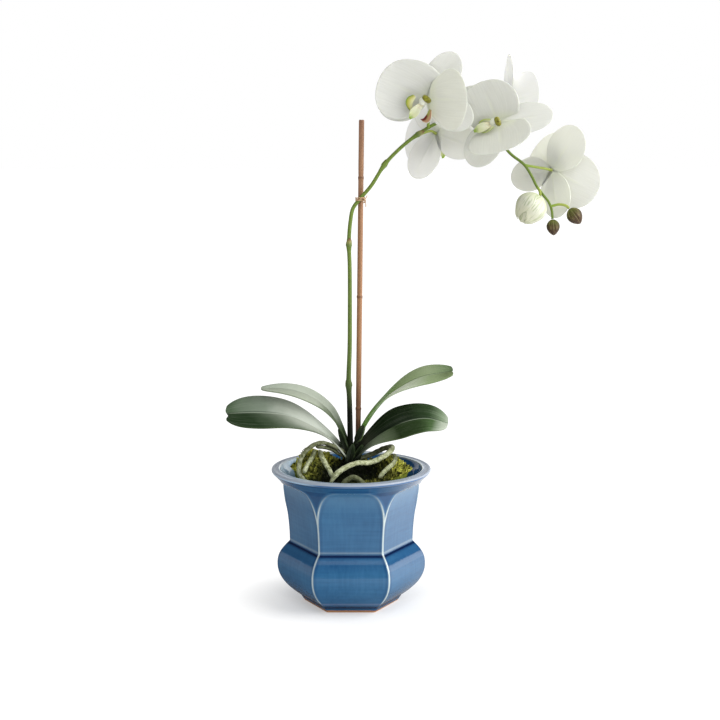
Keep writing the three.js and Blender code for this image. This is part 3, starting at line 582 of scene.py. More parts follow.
def glaze():
    finish = Finish("blue_glaze", IOR=1.5)
    x, y, z = finish.place.parts()
    height = z / MM
    radius = ((x * x + y * y) ** 0.5) / MM
    seam = finish.attribute("seam") / MM
    outer = finish.attribute("outer")
    wander = finish.noise(finish.place, 60, 4)
    cloud = finish.noise(finish.place, 18, 3)
    rings = finish.noise(finish.stretched(finish.place, (14, 14, 420)), 1, 4, 0.6)
    runs = finish.noise(finish.stretched(finish.place, (330, 330, 12)), 1, 3, 0.6)
    tone = (cloud * 0.9 + rings * 0.6 + runs * 0.6 - 0.55).clamp()
    colour = finish.blend(tone, GLAZE_DEEP, GLAZE_BLUE)

    # Painted shade under the rim, under its lip and in the corners between the arches, which face down; glaze
    # pooled beside the edges.
    under_rim_shade = height.between(*UNDER_RIM_SHADE) * 0.25
    under_lip_shade = height.bell(142.4, 1.0) * 0.7
    between_arches_shade = height.between(*ARCH_GAP_SHADE) * (1 - seam.ease(-4.0, -0.5)) * 0.6
    beside = seam.bell(2.6, 1.3) * height.ease(12.0, 30.0) * 0.3
    # Deeper glaze on the belt's shoulder, darkened further by a painted dark reflection of the studio.
    shoulder = height.bell(57.0, 8.0) * 0.35
    pool_and_shade = (shoulder + under_rim_shade + under_lip_shade + between_arches_shade + beside).clamp()
    colour = finish.blend(pool_and_shade * outer, colour, GLAZE_POOL_AND_SHADE)
    # Painted reflection: the panel tops curve out under the flare and are lightened as if they mirrored the
    # bright floor.
    panel_top_reflection = height.between(*PANEL_TOP_REFLECTION) * seam.ease(-0.5, 1.5)
    colour = finish.blend(panel_top_reflection * outer * 0.3, colour, GLAZE_PAINTED_REFLECTION)
    # Glaze pooled in the waist crease and over the foot, deepened by painted shade in the creases.
    crease_and_shade = height.bell(WAIST_CREASE, 1.5) + height.bell(FOOT_HEIGHT / MM, 2.1) * 0.85
    colour = finish.blend(crease_and_shade.clamp() * outer, colour, GLAZE_CREASE_AND_SHADE)

    inner = (1 - outer) * height.ease(118.0, 138.0)
    colour = finish.blend(inner * 0.7, colour, GLAZE_INSIDE)
    # Painted light: the inner wall at the left is lightened where the lamp on the right shines on it and is
    # mirrored.
    painted_lit_side = (0.0 - x).ease(0.03, 0.05) * (runs * 0.6 + 0.5)
    colour = finish.blend((inner * painted_lit_side).clamp(), colour, GLAZE_PAINTED_LIGHT)

    fading = 1 - height.ease(106.0, 134.0) * 0.85
    edge = seam.bell(0.0, 0.85) * height.between(*PANEL_EDGES) * fading
    lip = height.bell(PALE_LIP, 0.5) * 0.6
    waist = height.bell(PALE_WAIST, 1.2) * 0.22
    inner_edge = radius.bell(76.4, 0.7) * height.ease(142.0, 144.0)
    # The pale edges are paler on the right, a painted highlight from the lamp on that side.
    paleness_and_right_highlight = wander * 0.7 + 0.5 + x.ease(0.0, 0.03) * 0.3
    thin = ((edge + waist + lip) * outer + inner_edge).clamp() * paleness_and_right_highlight
    colour = finish.blend(thin.clamp(), colour, GLAZE_THIN)
    colour = finish.blend(height.bell(PALE_FOOT, 1.3) * outer * 0.7, colour, GLAZE_FOOT)
    # The rim's top is grey-blue glaze with a painted reflection of the sky in its colour.
    rim_top_and_reflection = height.ease(143.9, 145.2) * radius.ease(77.0, 78.0)
    colour = finish.blend(rim_top_and_reflection, colour, GLAZE_RIM_AND_REFLECTION)

    line = wander + 1.9 - x.ease(0.0, 0.05) * 1.1
    bare = (line - height).ease(-0.25, 0.25)
    grain = finish.noise(finish.place, 900, 2)
    clay = finish.blend(grain * 0.6, BARE_CLAY, DARK_CLAY)
    finish.set(Base_Color=finish.blend(bare, colour, clay))
    finish.set(Roughness=0.045 + bare * 0.7 + tone * 0.03 + rim_top_and_reflection * 0.3)
    finish.bump(cloud * 0.6 + rings * 0.12 + runs * 0.08 + grain * bare * 0.3, 0.6 * MM)
    return finish.material


blue_glaze = glaze()
settle(planter_shape, "glazed_planter", blue_glaze, "planter", ["planter"])
print("the planter is glazed")

# %% [markdown]
# ## Liner and foam
# The hidden liner is a thin black plastic pot, and the foam in it grips the stake and the crown. Both
# show only when the plant is lifted out. The liner is spun from its outline, as the planter is, because
# that closes it at both poles, with a square lip and the shallow rings such pots have. The foam keeps
# its solid, under a porous finish, because nothing on it would look better in a finer mesh.

# %% Make the liner
LINER_BOTTOM = 9.3 * MM
LINER_TOP = 125.65 * MM
LINER_RADIUS = 44.26 * MM
LINER_TAPER = 5 * MM
LINER_WALL = 1.4 * MM
LINER_LIP = 2.5 * MM
LINER_ROUNDING = 2 * MM
LINER_RINGS = 3
LINER_RING_WIDTH = 0.02
LINER_RING_DEPTH = 0.5 * MM
LINER_LEVELS = 48
LINER_STEPS = 72


def liner_radius(height):
    share = (height - LINER_BOTTOM) / (LINER_TOP - LINER_BOTTOM)
    rings = [(i + 1) / (LINER_RINGS + 1) for i in range(LINER_RINGS)]
    hollow = sum(bell(share - ring, LINER_RING_WIDTH) for ring in rings)
    return mix(LINER_RADIUS - LINER_TAPER, LINER_RADIUS, share) - hollow * LINER_RING_DEPTH


def liner_mesh():
    low, high = LINER_BOTTOM + LINER_ROUNDING, LINER_TOP - LINER_LIP
    levels = [mix(low, high, i / LINER_LEVELS) for i in range(LINER_LEVELS + 1)]
    outside = [(liner_radius(z), z) for z in levels]
    lip = [(LINER_RADIUS + LINER_WALL, LINER_TOP - LINER_LIP), (LINER_RADIUS + LINER_WALL, LINER_TOP),
           (LINER_RADIUS - LINER_WALL, LINER_TOP)]
    back = [(liner_radius(z) - LINER_WALL, z) for z in reversed(levels)]
    base = LINER_RADIUS - LINER_TAPER - LINER_ROUNDING
    chain_points = [(0, LINER_BOTTOM), (base, LINER_BOTTOM), *outside, *lip, *back,
                    (base - LINER_WALL, LINER_BOTTOM + LINER_WALL), (0, LINER_BOTTOM + LINER_WALL)]
    mesh = bmesh.new()
    chain = [mesh.verts.new((radius, 0, height)) for radius, height in chain_points]
    edges = [mesh.edges.new(pair) for pair in zip(chain, chain[1:])]
    bmesh.ops.spin(mesh, geom=chain + edges, cent=(0, 0, 0), axis=(0, 0, 1), dvec=(0, 0, 0),
                   angle=2 * math.pi, steps=LINER_STEPS, use_merge=True)
    return closed(mesh)


def black_plastic():
    finish = Finish("liner_plastic", Specular_IOR_Level=0.4)
    grain = finish.noise(finish.place, 500, 3)
    streaks = finish.noise(finish.stretched(finish.place, (60, 60, 8)), 1, 2)
    finish.set(Base_Color=finish.blend(streaks, paint(30, 30, 32), paint(50, 50, 52)))
    finish.set(Roughness=grain * 0.2 + 0.45)
    finish.bump(grain, 0.08 * MM)
    return finish.material


settle(liner_mesh(), "liner_with_rings", black_plastic(), stands_for=["liner_pot"])


def foam():
    finish = Finish("floral_foam", Roughness=0.95, Specular_IOR_Level=0.1)
    cells = finish.add("ShaderNodeTexVoronoi", inputs={"Vector": finish.place, "Scale": 900})
    dust = finish.noise(finish.place, 120, 4)
    finish.set(Base_Color=finish.blend(dust, paint(62, 78, 50), paint(92, 108, 74)))
    finish.bump(cells, 0.4 * MM)
    return finish.material


foam_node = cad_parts["foam_plug"]
foam_node.data.materials.clear()
foam_node.data.materials.append(foam())
print("liner and foam are in")

# %% [markdown]
# ## Moss
# The insert is topped with dried sheet moss, yellow-green at the left and right. A bumpy mound carries
# it. Painted light brightens the cushions at the left and right, and painted shade darkens the moss
# under the roots: each point of the mound and each sprig carries how bright it is painted. Thousands of
# small sprigs stand on the mound, all copies of one sprig of a few faces, because moss reads by its
# outline as much as by its colour.
# Hair could grow it too, but copies joined in one mesh are exported as they stand. Each copy has its
# own brightness, the painted light there times a random tone, so that pale threads stand out against
# dark gaps.

# %% Shape the mound
MOSS_BOTTOM = LINER_TOP + 0.3 * MM
MOSS_REACH = 62.5 * MM
MOSS_EDGE = RIM_TOP - 10 * MM
MOSS_SKIRT = 0.1
MOUND_COLUMNS = 120
MOUND_ROWS = 56
MOSS_BASE = -5
MOSS_HUMPS = {
    "middle": (13, 0, -2, 20, 16),
    "left": (22, -44, -10, 9, 15),
    "right": (16, 40, -8, 10.5, 18),
    "tuft": (9, -29, 8, 7, 8),
    "under_root": (7, 2, -58, 8, 6),
    "dip_in_front": (-2, 0, -60, 40, 14),
}
# Painted light and shade on the moss: bright on the cushions the lamp reaches, dark under the roots.
LEAST_PAINTED_LIGHT = 0.02
PAINTED_MOSS_LIGHT = {
    "left": (1.3, -52, -10, 10, 26),
    "tuft": (1.2, -28, 10, 9, 11),
    "right": (1, 53, -12, 13, 26),
    "front": (0.35, 14, -52, 14, 8),
    "back": (0.4, 0, 50, 46, 14),
}


def humps(x, y, table):
    """The sum of round humps at a place. Each is a height, its middle, and its reach across and back."""
    return sum(height * math.exp(-(((x - middle_x) / reach_x) ** 2 + ((y - middle_y) / reach_y) ** 2) / 2)
               for height, middle_x, middle_y, reach_x, reach_y in table.values())


def moss_height(x, y):
    """Height above the rim, in millimetres, of the mound at a place in millimetres."""
    return humps(x, y, MOSS_HUMPS) + MOSS_BASE


def painted_moss_light(x, y):
    """Painted light on the moss, from 0 in painted shade under the roots to 1 on the outer cushions."""
    return min(1, humps(x, y, PAINTED_MOSS_LIGHT) + LEAST_PAINTED_LIGHT)


def moss_point(u, v):
    """The skirt comes up from the liner's top, and the mound goes in from there to the middle."""
    turn = 2 * math.pi * u
    if v < MOSS_SKIRT:
        share = v / MOSS_SKIRT
        radius = mix(LINER_RADIUS, MOSS_REACH - 1.5 * MM, share)
        return Vector((radius * math.cos(turn), radius * math.sin(turn), mix(MOSS_BOTTOM, MOSS_EDGE, share)))
    radius = (MOSS_REACH - 1 * MM) * math.sqrt(1 - (v - MOSS_SKIRT) / (1 - MOSS_SKIRT))
    x, y = radius * math.cos(turn), radius * math.sin(turn)
    spot = Vector((x, y, 0)) * 90
    bumps = noise.fractal(spot, 0.8, 2.1, 4) * 1.6 * MM
    return Vector((x, y, RIM_TOP + moss_height(x / MM, y / MM) * MM + bumps - 1.2 * MM))


def lit(mesh):
    """Stores on each point the painted light and shade of the moss there."""
    light = mesh.verts.layers.float.new("light")
    for vert in mesh.verts:
        vert[light] = painted_moss_light(vert.co.x / MM, vert.co.y / MM)
    return mesh


moss_mound = lit(closed(sheet(MOUND_COLUMNS, MOUND_ROWS, moss_point)))
print("the mound has", len(moss_mound.faces), "faces")

# %% Grow the sprigs
SPRIGS = 8000
SPRIG_LENGTH = 7.5 * MM
SPRIG_SIZES = (0.4, 1.0)
SPRIG_LEANS = (0.3, 1.35)
SPRIG_SHADES = (0.1, 1.25)
SPRIG_FOOT = -1.6 * MM
SPRIG_WIDTH = 0.13
SPRIG_CURL = 0.35
LEAFLET_PAIRS = 5
LEAFLET_REACH = 0.3
LEAFLET_WIDTH = 0.14
dice = random.Random(11)


def sprig_mesh():
    """One sprig a unit long: a curved stalk with short leaflets in pairs."""
    mesh = bmesh.new()
    for vert in bmesh.ops.create_grid(mesh, x_segments=1, y_segments=LEAFLET_PAIRS, size=0.5)["verts"]:
        along = vert.co.y + 0.5
        vert.co = Vector((vert.co.x * SPRIG_WIDTH * (1 - 0.6 * along), SPRIG_CURL * along ** 2, along))
    for pair in range(LEAFLET_PAIRS):
        base = Vector((0, SPRIG_CURL * (0.2 * pair) ** 2, 0.18 * pair + 0.05))
        for side in (-1, 1):
            for vert in bmesh.ops.create_grid(mesh, x_segments=1, y_segments=1, size=0.5)["verts"]:
                u, v = vert.co.x, vert.co.y + 0.5
                vert.co = base + Vector((side * v * LEAFLET_REACH, u * LEAFLET_WIDTH, v * 0.2 + u * 0.05))
    data = bpy.data.meshes.new("sprig")
    mesh.to_mesh(data)
    mesh.free()
    return data


def grow_sprigs():
    """Copies of the sprig, each with its own size, lean and brightness: the painted light there times a
    random tone.
    """
    sprig = sprig_mesh()
    brightness = sprig.attributes.new("light", "FLOAT", "POINT")
    whole = bmesh.new()
    whole.verts.layers.float.new("light")
    for _ in range(SPRIGS):
        turn = dice.uniform(0, 2 * math.pi)
        radius = MOSS_REACH * math.sqrt(dice.random()) * 0.97
        x, y = radius * math.cos(turn), radius * math.sin(turn)
        light = painted_moss_light(x / MM, y / MM)
        if dice.random() > 0.3 + light:
            continue
        foot = RIM_TOP + moss_height(x / MM, y / MM) * MM + SPRIG_FOOT
        lean = Matrix.Rotation(dice.uniform(*SPRIG_LEANS), 4, "X")
        spin = Matrix.Rotation(dice.uniform(0, 2 * math.pi), 4, "Z")
        size = SPRIG_LENGTH * dice.uniform(*SPRIG_SIZES) * (0.55 + 0.45 * light)
        shade = light * dice.uniform(*SPRIG_SHADES)
        brightness.data.foreach_set("value", [shade] * len(sprig.vertices))
        placed = sprig.copy()
        placed.transform(Matrix.Translation((x, y, foot)) @ spin @ lean @ Matrix.Scale(size, 4))
        whole.from_mesh(placed)
        bpy.data.meshes.remove(placed)
    return whole


def moss_finish(name, deep, bright, top):
    finish = Finish(name, Roughness=0.9, Specular_IOR_Level=0.2)
    # The light attribute holds the painted light and shade of the moss.
    light = finish.attribute("light")
    patch = finish.noise(finish.place, 160, 4, 0.65)
    fibre = finish.noise(finish.stretched(finish.place, (900, 900, 300)), 1, 3, 0.7)
    share = (light * 1.1 + patch * 0.6 - 0.4).clamp()
    colour = finish.blend(share, deep, bright)
    colour = finish.blend(fibre.ease(0.45, 0.75) * share, colour, top)
    finish.set(Base_Color=colour)
    finish.bump(patch + fibre * 0.6, 1.2 * MM)
    return finish.material


mound_moss = moss_finish("moss_mound", paint(12, 15, 7), paint(100, 110, 30), paint(150, 156, 58))
sprig_moss = moss_finish("moss_sprigs", paint(24, 30, 12), paint(206, 208, 80), paint(248, 244, 156))
settle(moss_mound, "moss_cushion", mound_moss, stands_for=["moss"])
sprigs = settle(grow_sprigs(), "moss_sprigs", sprig_moss)
print("the sprigs have", len(sprigs.data.polygons), "faces")

# %% [markdown]
# ## Roots
# Aerial roots are grey-green, flattened and warty, with streaks along them. Each has its radius in
# millimetres, the share of its length that is dark, and a line of points chosen over the photograph.
# A curve with a bevel would give an even cord. A rod from a grid can swell and shrink by noise, along
# and around. The finish lays pale streaks and dark flecks over the green, and each root is darker near
# the crown.

# %% Lay the roots
ROOTS = {
    "root_left_arch": (2.7, 0.72, [
        (-3, -6, 16), (-11, -8, 20), (-20, -13, 26), (-30, -18, 30), (-40, -24, 28.5), (-50, -30, 20),
        (-54, -34, 10), (-53, -37, -1), (-45, -41, -7),
    ]),
    "root_left_inner": (2.5, 1.3, [
        (-3, -7, 12), (-12, -7, 15), (-20, -10, 21), (-30, -16, 25), (-37, -20, 26),
    ]),
    "root_left_prop": (2.9, 0.35, [(-38, -27, 24), (-40, -31, 18), (-45, -35, 11), (-49, -42, 3)]),
    "root_left_drop": (3.2, 0.3, [
        (-33, -25, 23), (-31, -32, 19), (-27, -39, 13), (-22, -45, 6), (-18, -49, -1),
    ]),
    "root_right_loop": (3.3, 0.4, [
        (0, -6, 8), (12, -3, 11), (24, -1, 15), (35, -4, 21), (43, -11, 24), (41, -20, 21), (30, -28, 15),
        (19, -34, 12), (7, -40, 13), (-5, -47, 10), (-14, -52, 5), (-21, -57, -4),
    ]),
    "root_right_drop": (2.8, 0.35, [(46, -20, 18), (46, -27, 13), (42, -33, 9), (35, -39, 4), (29, -44, -2)]),
    "root_front_low": (3.6, 1.3, [(-9, -60, -6), (-4, -59, -1), (2, -59, 2), (8, -60, 0), (14, -61, -6)]),
}
ROOT_STEP = 1.1 * MM
ROOT_SIDES = 20
ROOT_FLATNESS = 0.8
WART_SPACING = 3.2


def above_rim(points):
    """Points that count their height from the rim, as everything in the insert does."""
    return [(x, y, z + RIM_TOP / MM) for x, y, z in points]


def root_mesh(route, radius, seed):
    def radius_at(along, around):
        turn = 2 * math.pi * around
        height = along * route.length / MM / WART_SPACING + seed
        spot = Vector((math.cos(turn) * 1.3, math.sin(turn) * 1.3, height))
        lumps = 1 + 0.18 * noise.noise(spot) + 0.12 * noise.noise(spot * 2.9)
        return radius * MM * lumps * min(1, 0.55 + 6 * along, 0.5 + 8 * (1 - along))
    steps = max(24, round(route.length / ROOT_STEP))
    return rod(route, steps, ROOT_SIDES, radius_at, ROOT_FLATNESS)


def root_skin(name, dark_until):
    """Grey-green, and dark olive from the crown up to a share of the root's length."""
    finish = Finish(name, Roughness=0.85, Specular_IOR_Level=0.25)
    patch = finish.noise(finish.place, 260, 5, 0.7)
    streak = finish.noise(finish.place, 700, 3, 0.6, 1.5)
    fleck = finish.noise(finish.place, 1100, 2)
    colour = finish.ramp(patch, (0.32, paint(82, 88, 50)), (0.45, paint(140, 146, 102)),
                         (0.6, paint(192, 197, 160)))
    colour = finish.blend(streak.ease(0.48, 0.66) * 0.7, colour, paint(214, 217, 188))
    colour = finish.blend(fleck.ease(0.58, 0.7) * 0.8, colour, paint(70, 66, 38))
    near_crown = 1 - (finish.attribute("along") + patch * 0.2).ease(dark_until - 0.05, dark_until + 0.25)
    colour = finish.blend(near_crown * 0.72, colour, paint(48, 54, 24))
    # Painted shade: each root is darker low down, near the moss.
    _, _, z = finish.place.parts()
    shade = 1 - z.ease(RIM_TOP - 4 * MM, RIM_TOP + 10 * MM)
    colour = finish.blend(shade * 0.35, colour, paint(70, 74, 40))
    finish.set(Base_Color=colour)
    finish.bump(patch * 0.8 + streak * 0.5 + fleck * 0.3, 1.1 * MM)
    return finish.material


for number, (name, (radius, dark_until, points)) in enumerate(ROOTS.items()):
    route = Route(above_rim(points))
    settle(root_mesh(route, radius, 7.3 * number), name + "_skin", root_skin(name + "_bark", dark_until),
           stands_for=[name], smooth=1)
print("roots:", len(ROOTS))

# %% [markdown]
# ## Crown
# Leaves, roots and stem all grow from a short dark crown. It could be carved from a ball, but they hide
# most of it, so a lumpy rod does. The bases of old leaves that wrap it are bent with the leaves, in the
# next step.

# %% Make the crown
CROWN = (-1, -6)
CROWN_RADIUS = 6.5 * MM
CROWN_RIBS = 5


def crown_core():
    low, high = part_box("crown")
    route = Route([(*CROWN, mix(low.z, high.z, share) / MM) for share in (0, 0.5, 1)])

    def radius_at(along, around):
        bulge = math.sin(math.pi * min(1, 0.25 + 0.75 * along)) ** 0.4
        return CROWN_RADIUS * (0.62 + 0.36 * bulge) * (1 + 0.08 * math.sin(CROWN_RIBS * 2 * math.pi * around))
    return rod(route, 24, 30, radius_at)


def crown_skin():
    finish = Finish("crown_skin", Roughness=0.6)
    fibres = finish.noise(finish.stretched(finish.place, (500, 500, 40)), 1, 4, 0.7)
    finish.set(Base_Color=finish.ramp(fibres, (0.3, paint(8, 12, 5)), (0.6, paint(20, 30, 12)),
                                      (0.8, paint(56, 56, 28))))
    finish.bump(fibres, 0.5 * MM)
    return finish.material


settle(crown_core(), "crown_core", crown_skin(), stands_for=["crown"], smooth=1)
print("the crown is", round(CROWN_RADIUS / MM, 1), "mm in radius")

# %% [markdown]
# ## Leaves
# The blades are thick and strap-like, folded at the base and nearly flat further out, with a sunken
# midrib and a rounded tip, notched on two of them. A grid of lengthwise lines is laid along each
# blade's route and drawn in to the tip, so the veins run side by side and meet there. The finish
# gives each half of the blade its own run of greens, with painted light and shade, and is pale where
# a painted sheen stands for light mirrored on the leaf. A painted shadow and a painted highlight line
# the two sides of the midrib.

# %% Bend the leaves
LEAF_THICKNESS = 1.7 * MM
LEAF_COLUMNS = 28
LEAF_ROWS = 72
MIDRIB_DEPTH = 0.7 * MM
MIDRIB_WIDTH = 0.07
BLADE = {
    "base": 0.28, "base_fold": 0.9, "opens": (0, 0.6), "fold": 0.12, "notch": 0, "notch_at": 0, "wave": 0.4,
}
LEAVES = [
    {
        **BLADE, "name": "leaf_lower_left", "width": 45, "broadest": 0.76, "tip_power": 2.4,
        "fold": 0.1, "notch": 3.2, "notch_at": -0.3, "wave": 0.5, "far_side": 1,
        "base_face": (0.5, -0.3, 0.8), "face": (0, -0.64, 0.76),
        "points": [(-4, -9, 9), (-22, -5, 31), (-45, -3, 47), (-68, -1, 56), (-98, 0, 59), (-134, 0, 58)],
    },
    {
        **BLADE, "name": "leaf_upper_left", "width": 28, "broadest": 0.68, "tip_power": 1.5,
        "base": 0.42, "far_side": 1,
        "base_face": (0.7, -0.1, 0.7), "face": (-0.1, -0.28, 0.95),
        "points": [(-3, -5, 15), (-14, 0, 45), (-27, 4, 64), (-48, 6, 77), (-70, 6, 83), (-96, 5, 84)],
    },
    {
        **BLADE, "name": "leaf_upper_right", "width": 40, "broadest": 0.78, "tip_power": 1.8,
        "opens": (0.3, 0.85), "notch": 2, "notch_at": 0.1, "wave": 0.3, "far_side": -1,
        "base_face": (-0.9, 0.1, 0.5), "face": (-0.25, -0.36, 0.9),
        "points": [(2, -4, 15), (15, 0, 45), (31, 2, 68), (50, 4, 84), (74, 5, 96), (109, 4, 103)],
    },
    {
        **BLADE, "name": "leaf_lower_right", "width": 43, "broadest": 0.58, "tip_power": 2.4,
        "base": 0.5, "base_fold": 0.35, "far_side": -1,
        "base_face": (-0.6, -0.3, 0.7), "face": (0, -0.64, 0.76),
        "points": [(2, -10, 9), (18, -7, 27), (38, -5, 41), (58, -3, 50), (80, -1, 53), (103, 0, 47)],
    },
    {
        **BLADE, "name": "leaf_young", "width": 13, "broadest": 0.4, "tip_power": 2.4,
        "base": 0.3, "fold": 0.3, "wave": 0, "far_side": -1,
        "base_face": (-0.9, -0.2, 0.3), "face": (-0.6, -0.5, 0.6),
        "points": [(4, -9, 22), (8, -8, 31), (11, -7, 39), (14, -6, 46)],
    },
]


def leaf_half_width(leaf, along):
    swell = ease(along, 0.12, leaf["broadest"])
    past = max(0, (along - leaf["broadest"]) / (1.01 - leaf["broadest"]))
    tip = math.sqrt(1 - past ** leaf["tip_power"])
    return leaf["width"] / 2 * MM * mix(leaf["base"], 1, swell) * tip


def leaf_mesh(leaf):
    route = Route(above_rim(leaf["points"]))
    base_face, face = Vector(leaf["base_face"]), Vector(leaf["face"])
    notch = leaf["notch"] * MM / route.length

    def place(u, v):
        s = 2 * u - 1
        end = 1 - 0.012 * s * s - notch * bell(s - leaf["notch_at"], 0.4)
        along = math.sin(math.pi / 2 * v) * end
        centre, heading = route.at(along), route.heading(min(along, 0.995))
        looking = base_face.lerp(face, ease(along, *leaf["opens"]))
        side = heading.cross(looking).normalized()
        up = side.cross(heading).normalized()
        half = leaf_half_width(leaf, along)
        tilt = mix(leaf["base_fold"], leaf["fold"], ease(along, 0, 0.5))
        spread = math.sqrt(s * s + 0.012) - 0.11
        lift = spread * half * math.sin(tilt)
        lift -= MIDRIB_DEPTH * bell(s, MIDRIB_WIDTH) * ease(along, 0.02, 0.3)
        lift -= 0.05 * half * s ** 4 * ease(along, 0.3, 0.7)
        lift += leaf["wave"] * MM * math.sin(9 * along + 2 * s) * s * s
        return centre + side * s * half * math.cos(tilt) + up * lift

    return sheet(LEAF_COLUMNS, LEAF_ROWS, place)


def stops(*rows):
    """A run of colours. Each row is its place from base to tip, and its red, green and blue."""
    return [(place, paint(*colour)) for place, *colour in rows]


def leaf_skin(name, far_side, spill, far_stops, near_stops):
    """Each half of a blade has its own run of greens, with painted light, shade and sheen, because one half
    faces the sky and one does not. Spill is how much sooner the near half's colours come at its edge."""
    finish = Finish(name, Specular_IOR_Level=0.2)
    across, along = finish.attribute("across"), finish.attribute("along")
    side = finish.attribute("side") * far_side
    lanes = finish.add("ShaderNodeCombineXYZ", inputs={0: side * 24, 1: along * 2.0, 2: 0.0})
    veins = finish.noise(lanes, 1.0, 3, 0.6)
    cloud = finish.noise(finish.place, 40, 3)
    wobble = along + (cloud - 0.5) * 0.12 + (veins - 0.5) * 0.08
    near = finish.ramp((wobble + across * spill).clamp(), *near_stops)
    far = finish.ramp(wobble.clamp(), *far_stops)
    colour = finish.blend(side.ease(-0.05, 0.03), near, far)
    colour = finish.blend(veins.ease(0.5, 0.8) * 0.14, colour, paint(206, 212, 196))
    colour = finish.blend((1 - veins.ease(0.2, 0.5)) * 0.16, colour, paint(20, 32, 16))
    # A painted shadow on one side of the midrib and a painted highlight on the other.
    outward = along.between(0.3, 0.5, 0.88, 0.98)
    colour = finish.blend(side.bell(0.05, 0.03) * outward * 0.5, colour, paint(26, 40, 24))
    colour = finish.blend(side.bell(-0.03, 0.03) * outward * 0.4, colour, paint(190, 200, 180))
    edge = across.ease(0.94, 1.0) * along.ease(0.1, 0.3)
    colour = finish.blend(edge * 0.45, colour, paint(84, 104, 56))
    finish.set(Base_Color=colour, Roughness=veins * 0.12 + 0.36)
    finish.bump(veins * 0.5 + cloud * 0.3, 0.35 * MM)
    return finish.material


# Each run holds the leaf's green with painted light, shade and sheen: pale bands stand for light mirrored on
# the leaf.
LEAF_GREENS_AND_SHEEN = {
    "leaf_lower_left": (
        0.22,
        stops((0.07, 22, 32, 16), (0.14, 160, 168, 154), (0.22, 196, 202, 190), (0.3, 194, 200, 188),
              (0.41, 172, 179, 166), (0.52, 126, 138, 122), (0.8, 74, 92, 68)),
        stops((0.08, 18, 28, 12), (0.18, 84, 102, 66), (0.27, 170, 175, 162), (0.38, 160, 166, 153),
              (0.5, 100, 110, 94), (0.6, 60, 74, 54), (0.72, 34, 52, 28)),
    ),
    "leaf_upper_left": (
        0.0,
        stops((0.05, 24, 34, 16), (0.14, 60, 80, 42), (0.26, 172, 180, 164), (0.5, 178, 186, 170),
              (0.8, 158, 168, 152), (1.0, 130, 140, 122)),
        stops((0.05, 24, 36, 14), (0.2, 58, 78, 36), (0.34, 172, 179, 162), (0.6, 160, 168, 150),
              (0.85, 158, 166, 150), (1.0, 146, 154, 138)),
    ),
    "leaf_upper_right": (
        0.0,
        stops((0.03, 20, 34, 12), (0.11, 76, 112, 38), (0.3, 98, 136, 56), (0.42, 132, 152, 106),
              (0.6, 140, 156, 118), (0.8, 110, 130, 92), (1.0, 70, 90, 56)),
        stops((0.03, 20, 34, 12), (0.11, 70, 106, 36), (0.25, 92, 130, 54), (0.33, 204, 214, 188),
              (0.45, 198, 208, 184), (0.6, 142, 160, 118), (0.8, 106, 122, 82)),
    ),
    "leaf_lower_right": (
        0.0,
        stops((0.03, 14, 16, 10), (0.12, 46, 48, 38), (0.22, 10, 22, 6), (0.46, 12, 28, 6),
              (0.62, 40, 60, 32), (0.76, 108, 126, 98), (0.9, 150, 162, 142)),
        stops((0.03, 14, 20, 10), (0.16, 96, 106, 86), (0.24, 80, 92, 68), (0.32, 28, 44, 16),
              (0.5, 34, 52, 22), (0.65, 66, 90, 52), (0.78, 154, 164, 146), (0.9, 172, 180, 164)),
    ),
    "leaf_young": (
        0.0,
        stops((0.05, 14, 18, 10), (0.5, 34, 44, 24), (1.0, 60, 76, 44)),
        stops((0.05, 14, 18, 10), (0.5, 28, 38, 20), (1.0, 50, 66, 38)),
    ),
}
for leaf in LEAVES:
    skin = leaf_skin(leaf["name"] + "_skin", leaf["far_side"], *LEAF_GREENS_AND_SHEEN[leaf["name"]])
    settle(leaf_mesh(leaf), leaf["name"] + "_blade", skin, stands_for=[leaf["name"]],
           wall=LEAF_THICKNESS, smooth=1)
print("leaves:", len(LEAVES))

# %% Wrap the crown in old leaf bases
SHEATH_THICKNESS = 0.8 * MM
SHEATH = {
    "base": 0.8, "base_fold": 0.5, "broadest": 0.3, "tip_power": 1.4, "opens": (0, 1), "fold": 0.4,
    "notch": 0, "notch_at": 0, "wave": 0.3,
}
SHEATHS = [
    {
        **SHEATH, "name": "crown_sheath_left", "width": 9, "tip_power": 1.1,
        "base_face": (-0.3, -0.9, 0.2), "face": (-0.4, -0.8, 0.5),
        "points": [(-2, -9, 4), (-4, -9, 14), (-8, -6, 27), (-13.5, -3, 42)],
    },
    {
        **SHEATH, "name": "crown_sheath_front", "width": 11,
        "base_face": (0.1, -1, 0.1), "face": (0, -0.9, 0.4),
        "points": [(-1, -11, 3), (-1, -12.5, 10), (0, -12, 18), (2, -10, 27)],
    },
    {
        **SHEATH, "name": "crown_sheath_right", "width": 10,
        "base_face": (0.5, -0.9, 0.2), "face": (0.5, -0.8, 0.4),
        "points": [(2, -10, 4), (5, -11, 11), (8, -10.5, 18), (12, -9, 26)],
    },
]
sheath_skin = leaf_skin(
    "sheath_skin", 1, 0.0,
    stops((0.1, 10, 15, 6), (0.5, 24, 38, 16), (0.9, 46, 62, 32)),
    stops((0.1, 10, 15, 6), (0.5, 18, 30, 12), (0.9, 40, 54, 28)),
)
for sheath in SHEATHS:
    settle(leaf_mesh(sheath), sheath["name"], sheath_skin, wall=SHEATH_THICKNESS, smooth=1)
print("sheaths:", len(SHEATHS))

# %% [markdown]
# ## Stem and stalks
# The flower stem runs up the stake, leaves it over the tie and arches down to the last bud. It swells
# at its nodes, where a small papery bract hugs it. It is near black at the crown and a fresh green
# further up. A bevelled curve could carry stem and stalks. They are rods, because a rod's radius can
# follow a formula, which the swollen nodes need.

